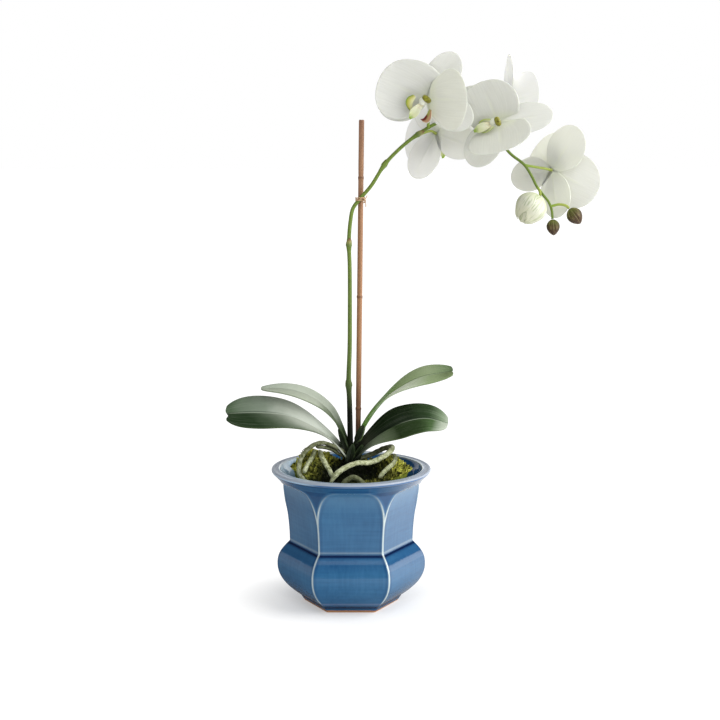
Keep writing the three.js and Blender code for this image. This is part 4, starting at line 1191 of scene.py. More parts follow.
# %% Run the stem
STEM_POINTS = [
    (-0.8, -5, 24.3), (-1.7, -4.5, 72), (-2.5, -4, 94), (-1.4, -4, 130), (-1.2, -4, 175),
    (-1.4, -3.5, 215), (-2.2, -3, 240), (-0.6, -2, 262), (2.1, -1.6, 275), (9, -1.4, 284.5), (20.6, -3, 298),
    (35.4, -5, 321), (52, -6, 338), (66, -6, 349), (92, -3, 364), (113, 1, 368), (133, 4, 363),
    (151, 6, 348), (166, 6, 331), (180, 5, 320), (188, 3, 308), (193, 2, 298), (199, 1, 290),
    (206, 0, 281), (209, 0, 273), (210, 0, 264),
]
STEM_NODES = [0.117, 0.385, 0.555, 0.64]
STEM_BASE_RADIUS = 2.6 * MM
STEM_TIP_RADIUS = 1.3 * MM
STEM_STEPS = 420
STEM_SIDES = 20
STEM_RIBS = 3
NODE_REACH = 0.009
NODE_SWELL = 0.75 * MM
STEM_STOUTNESS = 0.45 * MM
stem_route = Route(above_rim(STEM_POINTS))


def stem_radius(along):
    swell = sum(bell(along - node, NODE_REACH) for node in STEM_NODES)
    stout = STEM_STOUTNESS * (1 - ease(along, 0.0, 0.2))
    return mix(STEM_BASE_RADIUS, STEM_TIP_RADIUS, along) + NODE_SWELL * swell + stout


def stem_mesh():
    def radius_at(along, around):
        ribs = 1 + 0.03 * math.cos(STEM_RIBS * 2 * math.pi * around + 9 * along)
        return stem_radius(along) * ribs
    return rod(stem_route, STEM_STEPS, STEM_SIDES, radius_at)


def stem_skin(name, foot, lower, upper):
    """Green that is darkest at the start of a rod."""
    finish = Finish(name, Subsurface_Weight=0.05, Subsurface_Radius=SHALLOW_GLOW, Specular_IOR_Level=0.2)
    along = finish.attribute("along")
    streak = finish.noise(finish.stretched(finish.place, (600, 600, 60)), 1, 3)
    cloud = finish.noise(finish.place, 120, 3)
    colour = finish.ramp(along, (0.0, foot), (0.07, foot), (0.13, lower), (0.5, upper), (1.0, upper))
    pale = (streak * 0.8 + cloud * 0.6 - 0.35).clamp() * along.ease(0.1, 0.2)
    shade = finish.blend(pale * 0.5, colour, paint(150, 172, 84))
    finish.set(Base_Color=shade, Roughness=cloud * 0.2 + 0.45)
    finish.bump(streak * 0.5 + cloud * 0.5, 0.25 * MM)
    return finish.material


stem_green = stem_skin("stem_skin", paint(12, 17, 7), paint(74, 92, 46), paint(92, 112, 44))
settle(stem_mesh(), "arching_stem", stem_green, stands_for=["flower_stem"])
print("the stem is", round(stem_route.length / MM), "mm long")

# %% Wrap a bract round each node
BRACT_HEIGHT = 9 * MM
BRACT_THICKNESS = 0.35 * MM
BRACT_WRAP = 0.62
BRACT_BELOW = 0.15
FRAME_STEPS = 400


def bract_mesh(node, facing):
    """A papery scale that hugs the stem and ends in a point."""
    share = BRACT_HEIGHT / stem_route.length
    frames = stem_route.frames(FRAME_STEPS)

    def place(u, v):
        along = node + share * (v - BRACT_BELOW)
        centre = stem_route.at(along)
        _, side, up = frames[round(min(max(along, 0), 1) * FRAME_STEPS)]
        spread = (u - 0.5) * 2 * math.pi * BRACT_WRAP * (1 - v ** 2.2)
        radius = stem_radius(along) + (0.22 + 0.35 * v) * MM
        turn = facing + spread
        return centre + side * radius * math.cos(turn) + up * radius * math.sin(turn)
    return sheet(12, 12, place)


def bract_skin():
    finish = Finish("bract_skin", Roughness=0.6)
    along = finish.attribute("along")
    streak = finish.noise(finish.stretched(finish.place, (900, 900, 120)), 1, 3)
    colour = finish.ramp(along + streak * 0.3 - 0.15, (0.15, paint(98, 118, 54)),
                         (0.55, paint(138, 136, 78)), (0.9, paint(112, 72, 42)))
    finish.set(Base_Color=colour)
    finish.bump(streak, 0.3 * MM)
    return finish.material


bract_finish = bract_skin()
for number, node in enumerate(STEM_NODES):
    facing = math.pi * (1.1 if number % 2 else 0.1)
    settle(bract_mesh(node, facing), f"bract_{number + 1}", bract_finish, wall=BRACT_THICKNESS,
           smooth=1)
print("bracts:", len(STEM_NODES))

# %% [markdown]
# ## Stake and tie
# The stake is a thin cane, stained orange-brown, with low knots and a clean cut at the top. A plain
# cylinder has no rings to swell at the knots, so it is a rod of many short steps. The tie is a strand
# of raffia, wound round stem and stake and knotted at the right. It is a flattened rod, because a
# strand of raffia is a ribbon rolled up.

# %% Stand the stake
STAKE_RADIUS = 2.8 * MM
STAKE_AXIS = (7, 5)
STAKE_LEAN = 0.011
STAKE_TOP = 366
STAKE_KNOTS = [0.34, 0.6, 0.87]
STAKE_STEPS = 600
STAKE_SIDES = 24
STAKE_RIBS = 7
KNOT_REACH = 0.003


def stake_x(height):
    return STAKE_AXIS[0] + STAKE_LEAN * height


def stake_mesh():
    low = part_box("bamboo_stake")[0].z / MM - RIM_TOP / MM
    heights = [mix(low, STAKE_TOP, share) for share in (0, 0.5, 1)]
    route = Route(above_rim([(stake_x(z), STAKE_AXIS[1], z) for z in heights]))

    def radius_at(along, around):
        knot = sum(0.14 * bell(along - place, KNOT_REACH) - 0.05 * bell(along - place - 0.006, KNOT_REACH)
                   for place in STAKE_KNOTS)
        end = 1 - 0.12 * ease(along, 0.997, 1)
        return STAKE_RADIUS * (1 + knot) * end * (1 + 0.012 * math.cos(STAKE_RIBS * 2 * math.pi * around))
    return rod(route, STAKE_STEPS, STAKE_SIDES, radius_at)


def cane():
    finish = Finish("stained_cane", Specular_IOR_Level=0.4)
    along = finish.attribute("along")
    grain = finish.noise(finish.stretched(finish.place, (1300, 1300, 18)), 1, 4, 0.7)
    blotch = finish.noise(finish.stretched(finish.place, (60, 60, 14)), 1, 3)
    colour = finish.ramp(along, (0.15, paint(58, 36, 24)), (0.3, paint(92, 58, 38)),
                         (0.5, paint(160, 116, 80)), (0.9, paint(156, 116, 86)), (1.0, paint(146, 106, 82)))
    colour = finish.blend(grain.ease(0.4, 0.75) * 0.4, colour, paint(104, 66, 44))
    colour = finish.blend(blotch.ease(0.45, 0.75) * 0.45, colour, paint(204, 160, 122))
    rings = sum(along.bell(knot, 0.0022) for knot in STAKE_KNOTS)
    colour = finish.blend(rings.clamp() * 0.6, colour, paint(78, 48, 34))
    finish.set(Base_Color=colour, Roughness=grain * 0.2 + 0.4)
    finish.bump(grain, 0.2 * MM)
    return finish.material


settle(stake_mesh(), "cane_stake", cane(), stands_for=["bamboo_stake"])
print("the stake is", round(STAKE_RADIUS * 2 / MM, 1), "mm thick")

# %% Wind the tie
TIE_X, TIE_Y, TIE_HEIGHT = STEM_POINTS[9]
TIE_TURNS = 3
TIE_STEPS = 10
TIE_REACH = (4.6, 6.3)
TIE_RISE = 1.25
TIE_DROP = 1.9
STRAND_RADIUS = 0.75 * MM
STRAND_STEP = 0.8 * MM
STRAND_SIDES = 8
STRAND_FLATNESS = 0.7


def tie_points():
    """The strand goes round stem and stake in a long loop, climbing a little with each turn."""
    middle_x = (TIE_X + stake_x(TIE_HEIGHT)) / 2
    middle_y = (TIE_Y + STAKE_AXIS[1]) / 2
    points = []
    for step in range(TIE_TURNS * TIE_STEPS + 1):
        turn = 2 * math.pi * step / TIE_STEPS
        x = middle_x + TIE_REACH[0] * math.cos(turn)
        y = middle_y + TIE_REACH[1] * math.sin(turn)
        points.append((x, y, TIE_HEIGHT - TIE_DROP + TIE_RISE * step / TIE_STEPS))
    return points


def strand_mesh(points):
    route = Route(above_rim(points))
    steps = max(16, round(route.length / STRAND_STEP))

    def radius_at(along, around):
        return STRAND_RADIUS * (1 + 0.2 * math.sin(40 * along))
    return rod(route, steps, STRAND_SIDES, radius_at, STRAND_FLATNESS)


def raffia():
    finish = Finish("raffia", Roughness=0.8)
    strand = finish.noise(finish.place, 900, 3, 0.7)
    finish.set(Base_Color=finish.blend(strand, paint(150, 112, 76), paint(226, 190, 150)))
    finish.bump(strand, 0.3 * MM)
    return finish.material


raffia_finish = raffia()
settle(strand_mesh(tie_points()), "raffia_tie", raffia_finish, stands_for=["stake_tie"], smooth=1)
knot_x = stake_x(TIE_HEIGHT) + 3.6
KNOT = [
    [(knot_x - 2, -3.2, 286), (knot_x, -4.4, 285), (knot_x + 1.6, -3.2, 283), (knot_x + 0.4, -2.2, 281),
     (knot_x - 1.4, -3.4, 281.6), (knot_x - 1, -4.2, 284)],
    [(knot_x - 0.4, -3.6, 284), (knot_x + 2, -3.2, 286), (knot_x + 3.2, -2.4, 288.4)],
    [(knot_x, -3.6, 283), (knot_x + 1.6, -3.6, 280), (knot_x + 1.8, -3.2, 276.5)],
]
for number, points in enumerate(KNOT):
    settle(strand_mesh(points), f"raffia_knot_{number + 1}", raffia_finish, smooth=1)
print("the tie has", TIE_TURNS, "turns")

# %% [markdown]
# ## Flowers
# A moth orchid's bloom has three narrow sepals behind two broad petals, and a small waxy lip and
# column in the middle. All five flowers are built one way, each with its own sizes. Each is built in
# its own plane, looking along its own +Z, and then turned to its place. A petal is given by its angle,
# how far it cups, its length, its width and how far its shoulders lean back. Petals and sepals are
# sheets whose lengthwise lines fan out from the centre and end on a round, so the veins fan out too.

# %% Place the flowers
SEPAL_SIZE = (52, 37)
TOP_SEPAL_ANGLE = 90
LEFT_SEPAL_ANGLE = 222
RIGHT_SEPAL_ANGLE = 318
PETAL_WALL = 0.7 * MM
PETAL_LAYER = 1.2 * MM
HUB_RADIUS = 5 * MM
HUB_FRONT = 1.95 * MM
BLOOM = {
    "turn": 0, "lip_turn": 0, "right_sepal": RIGHT_SEPAL_ANGLE, "top_cup": 0, "side_cup": 0,
    "right_petal": (12, 20, 54, 58, (6, 6)), "left_petal": (168, 20, 54, 58, (6, 6)),
    "scoops": (0.7, 0), "top_sepal": SEPAL_SIZE,
}
# Each flower's petal and sepal paint also holds painted light: darker on flowers facing the lamps, paler on
# those in shade, near white on the far flower.
FLOWERS = [
    {
        **BLOOM, "name": "flower_1", "hub": (77, -34, 386), "look": (-0.2, -0.97, -0.08),
        "top": (0.2, 0, 0.98), "leaves": 0.663,
        "turn": -22, "lip_turn": -30, "right_sepal": 364, "top_cup": -4, "side_cup": -4,
        "right_petal": (11, 31, 54, 61, (-4, -5)), "left_petal": (166, 22, 55, 65, (17, 0)),
        "scoops": (1.25, 4), "top_sepal": (54, 35),
        "petal_paint_and_light": (194, 195, 187), "sepal_paint_and_light": (206, 207, 198),
    },
    {
        **BLOOM, "name": "flower_2", "hub": (89, 19, 352), "look": (0.5, 0.83, -0.2),
        "top": (-0.3, 0, 0.95), "leaves": 0.632, "turn": -8,
        "right_petal": (12, 22, 54, 58, (6, 6)), "left_petal": (168, 22, 54, 58, (6, 6)),
        "scoops": (0.6, 0), "petal_paint_and_light": (246, 246, 238), "sepal_paint_and_light": (240, 240, 230),
    },
    {
        **BLOOM, "name": "flower_3", "hub": (150, -20, 363), "look": (-0.24, -0.96, 0.08),
        "top": (0.93, 0, 0.37), "leaves": 0.788, "turn": -14, "top_cup": -3, "side_cup": -3,
        "right_petal": (-8, 46, 54, 66, (3, 8)), "left_petal": (178, 40, 54, 58, (10, 12)),
        "scoops": (0.3, 0), "top_sepal": (57, 31),
        "petal_paint_and_light": (190, 191, 184), "sepal_paint_and_light": (206, 207, 198),
    },
    {
        **BLOOM, "name": "flower_4", "hub": (167, 54, 384), "look": (0.96, 0.16, -0.08),
        "top": (-0.1, 0, 1), "leaves": 0.8, "top_cup": -3,
        "petal_paint_and_light": (250, 250, 247), "sepal_paint_and_light": (244, 245, 240),
    },
    {
        **BLOOM, "name": "flower_5", "hub": (211, 20, 314), "look": (0.64, 0.75, -0.14),
        "top": (0.67, 0, 0.74), "leaves": 0.884,
        "right_petal": (8, 24, 54, 58, (6, 6)), "left_petal": (172, 24, 54, 58, (6, 6)),
        "top_sepal": (53, 47), "petal_paint_and_light": (211, 212, 201), "sepal_paint_and_light": (214, 215, 203),
    },
]


def flower_matrix(flower):
    forward = Vector(flower["look"]).normalized()
    right = Vector(flower["top"]).cross(forward).normalized()
    up = forward.cross(right)
    turned = Matrix((right, up, forward)).transposed().to_4x4()
    hub = Vector(above_rim([flower["hub"]])[0]) * MM
    return Matrix.Translation(hub) @ turned


print("flowers:", len(FLOWERS))

# %% Shape a petal or a sepal
LOBE_COLUMNS = 30
LOBE_ROWS = 34
LOBE_END = 0.992
LOBE_ROUND = 0.985


def lobe_mesh(size, angle, cup, layer, fullness, ruffle, seed, shoulders=(0, 0)):
    """One lobe along an angle in the flower's plane, cupped forward beyond the hub. Its outer half ends
    on a round. Each shoulder leans back toward the flower's middle by the given millimetres."""
    length, width = size[0] * MM, size[1] * MM
    angle, cup = math.radians(angle), math.radians(cup)

    def place(u, v):
        s = 2 * u - 1
        t = v * LOBE_END * (1 - 0.5 * (1 - math.sqrt(1 - LOBE_ROUND * s * s)))
        open_share = math.sin(math.pi / 2 * min(1, t / 0.5)) ** fullness
        half = mix(0.1, 1.0, open_share) * width / 2
        lean = shoulders[1 if s > 0 else 0] * MM * s * s * ease(t, 0.0, 0.25) * (1 - t) * 1.25
        along = t * length - lean
        flat = min(along, HUB_RADIUS / 2)
        beyond = max(0, along - HUB_RADIUS / 2)
        bend = cup * (0.82 + 0.3 * t)
        reach = flat + beyond * math.cos(bend)
        lift = layer + beyond * math.sin(bend) + abs(lean) * math.sin(cup) * 0.4
        lift += (0.10 * s * s - 0.03) * half * ease(t, 0.1, 0.5)
        lift -= 0.055 * half * abs(s) ** 5
        lift -= 0.5 * MM * bell(s, 0.06) * ease(t, 0.08, 0.25) * (1 - ease(t, 0.5, 0.85))
        lift += ruffle * MM * math.sin(5.2 * t + 2.6 * s + seed) * (0.25 + s * s) * ease(t, 0.25, 0.8)
        sway = s * half
        return Vector((reach * math.cos(angle) - sway * math.sin(angle),
                       reach * math.sin(angle) + sway * math.cos(angle), lift))
    return sheet(LOBE_COLUMNS, LOBE_ROWS, place)


def placed(mesh, matrix):
    bmesh.ops.transform(mesh, matrix=matrix, verts=mesh.verts)
    return mesh


def petal_skin(name, shade):
    """White with fanned veins, a little paler between them and greener at the flower's middle."""
    finish = Finish(name, Subsurface_Weight=0.6, Subsurface_Radius=DEEP_GLOW, Subsurface_Scale=1.0)
    across, along = finish.attribute("across"), finish.attribute("along")
    fan = finish.add("ShaderNodeCombineXYZ", inputs={0: across * 22, 1: along * 1.6, 2: 0.0})
    veins = finish.noise(fan, 1.0, 3, 0.6)
    silk = finish.noise(finish.place, 420, 2)
    colour = finish.blend(veins.ease(0.35, 0.75) * 0.12, shade, paint(240, 242, 234))
    rim = (across.ease(0.93, 1.0) + along.ease(0.965, 1.0)).clamp()
    colour = finish.blend(rim * 0.3, colour, paint(192, 198, 178))
    middle = (1 - along.ease(0.0, 0.3)) * 0.5 + across.bell(0.0, 0.05) * (1 - along.ease(0.3, 0.8)) * 0.2
    colour = finish.blend(middle, colour, paint(216, 222, 188))
    finish.set(Base_Color=colour, Roughness=silk * 0.1 + 0.5)
    finish.bump(veins * 0.5 + silk * 0.25, 0.22 * MM)
    return finish.material


print("a petal is a grid of", LOBE_COLUMNS, "by", LOBE_ROWS)

# %% [markdown]
# ## Lip and column
# The column is a short cream post under a blocky olive cap. Below it the lip has a tongue that reaches
# forward and ends in green. Two scoops stand up beside it, hollow toward the column. On the flower that
# faces the reader the left one is olive with a green rim, and the right one is rose with a cream rim
# and a dark red crescent. On the others both are pale. A small yellow callus sits between them. They
# could be sculpted, but at this size balls, rods and short sheets look the same and stay clean.

# %% Shape the lip and the column
COLUMN_RADIUS = 2.7
COLUMN_SWELL = 1.3
COLUMN_STEPS = 20
COLUMN_SIDES = 20
LIP_LENGTH = 22
LIP_WIDTH = 9
LIP_BASE = HUB_FRONT / MM
LIP_NECK = -COLUMN_RADIUS - 0.8
SCOOP_WIDTH = 4.8 * MM
SCOOP_LINE = [(5, -19, 5, 1), (8.8, -16, 8, 0.7), (10, -10.5, 9.2, 0.3), (8.6, -4.5, 8.2, 0)]


def column_mesh():
    route = Route([(-1, -4.4, LIP_BASE), (-1, -4.6, LIP_BASE + 3), (-0.8, -3.2, LIP_BASE + 6.4),
                   (0.2, 0, LIP_BASE + 8.8)])

    def radius_at(along, around):
        hood = COLUMN_SWELL + 0.25 * bell(along - 0.5, 0.3) - 0.3 * ease(along, 0.8, 1)
        return COLUMN_RADIUS * MM * hood
    return rod(route, COLUMN_STEPS, COLUMN_SIDES, radius_at)


def blob(middle, reach, points):
    """A rounded block about a middle, from the sphere operator, in millimetres."""
    mesh = bmesh.new()
    bmesh.ops.create_uvsphere(mesh, u_segments=points, v_segments=points // 2, radius=1.0)
    for vert in mesh.verts:
        squared = [math.copysign(abs(value) ** 0.8, value) for value in vert.co]
        vert.co = Vector([m + r * value for m, r, value in zip(middle, reach, squared)]) * MM
    return mesh


def cap_mesh():
    return blob((0.8, 1.2, LIP_BASE + 9.6), (5.2, 3.2, 2.9), 20)


def callus_mesh():
    return blob((0, LIP_NECK - 0.4, LIP_BASE + 4.6), (1.9, 1.3, 1.5), 16)


def tongue_mesh():
    """The lip's middle: a narrow tongue that widens to an arrowhead and curls down."""
    route = Route([(0, LIP_NECK, LIP_BASE + 0.5), (0, LIP_NECK - 2, LIP_BASE + 4.4),
                   (0, LIP_NECK - 7.7, LIP_BASE + 9.2), (0, LIP_NECK - 15.4, LIP_BASE + 9.2),
                   (0, LIP_NECK - LIP_LENGTH, LIP_BASE + 5.5)])

    def place(u, v):
        s = 2 * u - 1
        width = LIP_WIDTH / 2 * MM * mix(0.3, 1, ease(v, 0.1, 0.62)) * (1 - 0.75 * ease(v, 0.66, 1.0))
        centre, heading = route.at(v), route.heading(min(v, 0.99))
        up = Vector((1, 0, 0)).cross(heading).normalized()
        lift = (0.55 * s * s - 0.2) * width - 0.5 * MM * bell(s, 0.2) * (1 - v)
        return centre + Vector((s * width, 0, 0)) - up * lift
    return sheet(14, 26, place)


def scoop_mesh(side, apart, skew):
    """One of the two scoops beside the column. Its outer edge comes forward, so it faces inward. Apart
    widens the pair, and skew shifts their tips to the right, less and less toward their feet."""
    route = Route([(side * x * apart + skew * share, y, LIP_BASE + z) for x, y, z, share in SCOOP_LINE])
    outward = Vector((side * 0.77, 0, 0.64))

    def place(u, v):
        s = 2 * u - 1
        width = SCOOP_WIDTH * math.sin(math.pi * (0.12 + 0.8 * v)) ** 0.6
        centre, heading = route.at(v), route.heading(min(v, 0.99))
        inward = outward.cross(heading).normalized() * side
        return centre + outward * s * width - inward * (1 - s * s) * 0.45 * width
    return sheet(12, 18, place)


# %% Give them waxy finishes
def waxy(name, *stops, spots=None):
    """A waxy finish that changes colour from a piece's base to its tip, with spots if given."""
    finish = Finish(name, Subsurface_Weight=0.5, Subsurface_Radius=DEEP_GLOW, Subsurface_Scale=1.0)
    along = finish.attribute("along")
    cloud = finish.noise(finish.place, 300, 3)
    colour = finish.ramp((along + cloud * 0.2 - 0.1).clamp(), *stops)
    if spots:
        streak = finish.noise(finish.place, 520, 2, 0.5, 2.0).ease(0.5, 0.58)
        colour = finish.blend(streak * (1 - along.ease(0.15, 0.6)), colour, spots)
    finish.set(Base_Color=colour, Roughness=cloud * 0.15 + 0.3)
    finish.bump(cloud, 0.15 * MM)
    return finish.material


def scoop_skin(name, crescent, *stops):
    """Bands of colour from a scoop's inner edge to its outer one, and a crescent low on the inner edge."""
    finish = Finish(name, Subsurface_Weight=0.15, Subsurface_Radius=SHALLOW_GLOW)
    side, along = finish.attribute("side") * 0.5 + 0.5, finish.attribute("along")
    cloud = finish.noise(finish.place, 300, 3)
    colour = finish.ramp((side + cloud * 0.2 - 0.1).clamp(), *stops)
    inner = 1 - (side + along * 0.3).ease(0.28, 0.42)
    colour = finish.blend(inner * (1 - along.ease(0.5, 0.7)), colour, crescent)
    finish.set(Base_Color=colour, Roughness=cloud * 0.15 + 0.32)
    finish.bump(cloud, 0.15 * MM)
    return finish.material


column_wax = waxy("column_wax", (0.0, paint(228, 230, 214)), (1.0, paint(222, 224, 208)))
cap_wax = waxy("cap_wax", (0.0, paint(142, 142, 44)), spots=paint(92, 84, 24))
tongue_wax = waxy("tongue_wax", (0.0, paint(230, 226, 170)), (0.4, paint(228, 230, 200)),
                  (0.76, paint(216, 222, 170)), (0.94, paint(138, 172, 52)), spots=paint(206, 170, 120))
left_wax = scoop_skin("left_scoop_wax", paint(222, 220, 172), (0.05, paint(224, 222, 176)),
                      (0.4, paint(196, 194, 110)), (0.68, paint(162, 162, 60)), (0.92, paint(120, 148, 44)))
right_wax = scoop_skin("right_scoop_wax", paint(112, 34, 26), (0.1, paint(150, 156, 72)),
                       (0.4, paint(190, 142, 110)), (0.7, paint(202, 160, 134)), (0.85, paint(232, 230, 210)))
pale_wax = scoop_skin("pale_scoop_wax", paint(222, 220, 172), (0.05, paint(226, 228, 206)),
                      (0.7, paint(216, 220, 178)), (0.95, paint(176, 194, 96)))
callus_wax = waxy("callus_wax", (0.0, paint(226, 200, 90)), spots=paint(150, 60, 30))
print("lip and column are ready")

# %% Assemble the flowers
STALK_RADIUS = 1.5 * MM
STALK_STEPS = 40
STALK_SIDES = 14
LIP_THICKNESS = 0.8 * MM
SCOOP_THICKNESS = 0.5 * MM
SEPAL_FULLNESS, SEPAL_RUFFLE = 0.75, 0.5
PETAL_FULLNESS, PETAL_RUFFLE = 0.5, 0.9


def joined(first, *others):
    """Several meshes in one."""
    for other in others:
        data = bpy.data.meshes.new("part")
        other.to_mesh(data)
        other.free()
        first.from_mesh(data)
        bpy.data.meshes.remove(data)
    return first


def pedicel_mesh(flower):
    """The stalk leaves the stem, droops a little and meets the back of the hub squarely."""
    start = stem_route.at(flower["leaves"]) / MM
    back = -Vector(flower["look"]).normalized()
    end = Vector(above_rim([flower["hub"]])[0]) + back * 0.75
    approach = end + back * (end - start).length * 0.35
    route = Route([start, approach, end])

    def radius_at(along, around):
        return STALK_RADIUS * (0.9 + 0.28 * bell(along - 1, 0.12) + 0.2 * bell(along, 0.1))
    return rod(route, STALK_STEPS, STALK_SIDES, radius_at)


stalk_green = stem_skin("stalk_skin", paint(128, 152, 60), paint(134, 158, 66), paint(150, 160, 78))


def make_flower(flower, number):
    matrix = flower_matrix(flower)
    name = flower["name"]
    settle(pedicel_mesh(flower), name + "_stalk", stalk_green, stands_for=[name + "_pedicel"],
           smooth=1)

    sepals = [
        (TOP_SEPAL_ANGLE, flower["top_cup"], flower["top_sepal"]),
        (LEFT_SEPAL_ANGLE, flower["side_cup"], SEPAL_SIZE),
        (flower["right_sepal"], flower["side_cup"], SEPAL_SIZE),
    ]
    lobes = [lobe_mesh(size, angle + flower["turn"], cup, 0, SEPAL_FULLNESS, SEPAL_RUFFLE, number + angle)
             for angle, cup, size in sepals]
    sepal_white = petal_skin(name + "_sepal_skin", paint(*flower["sepal_paint_and_light"]))
    settle(placed(joined(*lobes), matrix), name + "_three_sepals", sepal_white,
           stands_for=[name + "_sepals"], wall=PETAL_WALL, smooth=1)

    lobes = []
    for side in ("right_petal", "left_petal"):
        angle, cup, length, width, shoulders = flower[side]
        seed = 2.1 * number + len(lobes)
        lobes.append(lobe_mesh((length, width), angle, cup, PETAL_LAYER, PETAL_FULLNESS, PETAL_RUFFLE,
                               seed, shoulders))
    petal_white = petal_skin(name + "_petal_skin", paint(*flower["petal_paint_and_light"]))
    settle(placed(joined(*lobes), matrix), name + "_two_petals", petal_white,
           stands_for=[name + "_petals"], wall=PETAL_WALL, smooth=1)

    turned = matrix @ Matrix.Rotation(math.radians(flower["lip_turn"]), 4, "Z")
    settle(placed(column_mesh(), turned), name + "_column_post", column_wax,
           stands_for=[name + "_column"], smooth=1)
    settle(placed(cap_mesh(), turned), name + "_column_cap", cap_wax, smooth=1)
    settle(placed(tongue_mesh(), turned), name + "_lip_tongue", tongue_wax,
           stands_for=[name + "_lip"], wall=LIP_THICKNESS, smooth=1)
    waxes = (left_wax, right_wax) if number == 0 else (pale_wax, pale_wax)
    for side, word, wax in ((-1, "left", waxes[0]), (1, "right", waxes[1])):
        settle(placed(scoop_mesh(side, *flower["scoops"]), turned), f"{name}_lip_scoop_{word}", wax,
               wall=SCOOP_THICKNESS, smooth=1)
    settle(placed(callus_mesh(), turned), name + "_lip_callus", callus_wax)


for number, flower in enumerate(FLOWERS):
    make_flower(flower, number)

# %% [markdown]
# ## Buds
# Two small buds are still shut: green at the stalk, brown-mauve at the tip, with a pale seam. The
# opening bud is a white ball of overlapping segments with green veins that run from its stalk. Each
# bud is a ball from the sphere operator, drawn out along the way it hangs, because the ball's poles then
# lie at stalk and tip, where the segments meet. Three loose sheets are wrapped round the opening one.

# %% Shape the buds
BUDS = [
    {
        "name": "opening_bud", "leaves": 0.932, "stalk": [(2, -5, -4), (2, -9, -8)],
        "tip": (-0.6, -0.15, -0.8), "radius": 15.5, "length": 34,
    },
    {
        "name": "small_bud", "leaves": 0.976, "stalk": [(8, -2, 2), (15, -3, 1), (19, -3, -2)],
        "tip": (0.6, 0, -0.8), "radius": 8, "length": 19.5,
    },
]
LAST_BUD = {"tip": (0.1, 0, -1), "radius": 6.9, "length": 17}
BUD_SEAMS = 3
BUD_COLUMNS = 48
BUD_ROWS = 32
SHUT_GROOVES = 0.1
OPEN_GROOVES = 0.06
LOOSE_SEGMENTS = [(2.2, 0.3), (4.3, 0.7), (0.2, 1.1)]
SEGMENT_THICKNESS = 0.5 * MM
BUD_STALK_RADIUS = 1.45 * MM
BUD_STALK_STEPS = 30


def bud_radius(bud, t):
    return bud["radius"] * math.sin(math.pi * min(max(t, 0), 1) ** 0.85) ** 0.66


def hung(mesh, base, bud):
    """Turns a bud made along +Z to the way its tip points, and hangs it at its base."""
    turn = Vector((0, 0, 1)).rotation_difference(Vector(bud["tip"]).normalized())
    bmesh.ops.rotate(mesh, verts=mesh.verts, cent=(0, 0, 0), matrix=turn.to_matrix())
    bmesh.ops.translate(mesh, verts=mesh.verts, vec=base)
    bmesh.ops.recalc_face_normals(mesh, faces=mesh.faces)
    return mesh


def bud_mesh(bud, groove_depth):
    """A ball drawn out along +Z, with lengthwise grooves between its segments."""
    mesh = bmesh.new()
    bmesh.ops.create_uvsphere(mesh, u_segments=BUD_COLUMNS, v_segments=BUD_ROWS, radius=1.0)
    along_layer = mesh.verts.layers.float.new("along")
    across_layer = mesh.verts.layers.float.new("across")
    for vert in mesh.verts:
        t = math.acos(min(max(-vert.co.z, -1), 1)) / math.pi
        turn = math.atan2(vert.co.y, vert.co.x)
        seam = math.cos(BUD_SEAMS * turn / 2 + 0.8)
        vert[along_layer] = t
        vert[across_layer] = abs(seam)
        radius = bud_radius(bud, t) * (1 - groove_depth * bell(seam, 0.16) * math.sin(math.pi * t))
        vert.co = Vector((radius * math.cos(turn), radius * math.sin(turn), bud["length"] * t)) * MM
    return mesh


def wrapped_segment(bud, facing, out):
    """A loose outer segment of the opening bud, which hugs the ball and lifts a little at its end."""
    def place(u, v):
        s = 2 * u - 1
        t = 0.03 + 0.95 * v * (1 - 0.16 * s * s) + 0.02 * math.sin(9 * s + facing) * v
        turn = facing + s * 1.25 * math.sin(math.pi * (0.12 + 0.7 * v)) ** 0.5
        radius = bud_radius(bud, t) + out + 1.6 * ease(v, 0.75, 1.0) * (1 - 0.6 * s * s)
        return Vector((radius * math.cos(turn), radius * math.sin(turn), bud["length"] * t)) * MM
    return sheet(22, 26, place)


def bud_skin(name, base, middle, tip, seam, vein, rough):
    finish = Finish(name, Subsurface_Weight=0.1, Subsurface_Radius=SHALLOW_GLOW)
    across, along = finish.attribute("across"), finish.attribute("along")
    lanes = finish.add("ShaderNodeCombineXYZ", inputs={0: across * 9, 1: along * 1.5, 2: 0.0})
    lines = finish.noise(lanes, 1.0, 3, 0.6)
    blotch = finish.noise(finish.place, 320, 3, 0.6)
    colour = finish.ramp((along + blotch * 0.5 - 0.25).clamp(), (0.08, base), (0.45, middle), (0.85, tip))
    colour = finish.blend(lines.ease(0.52, 0.62) * 0.5, colour, vein)
    colour = finish.blend((1 - across.ease(0.0, 0.14)) * 0.5, colour, seam)
    finish.set(Base_Color=colour, Roughness=blotch * 0.15 + rough)
    finish.bump(lines * 0.6 + blotch * 0.4, 0.3 * MM)
    return finish.material


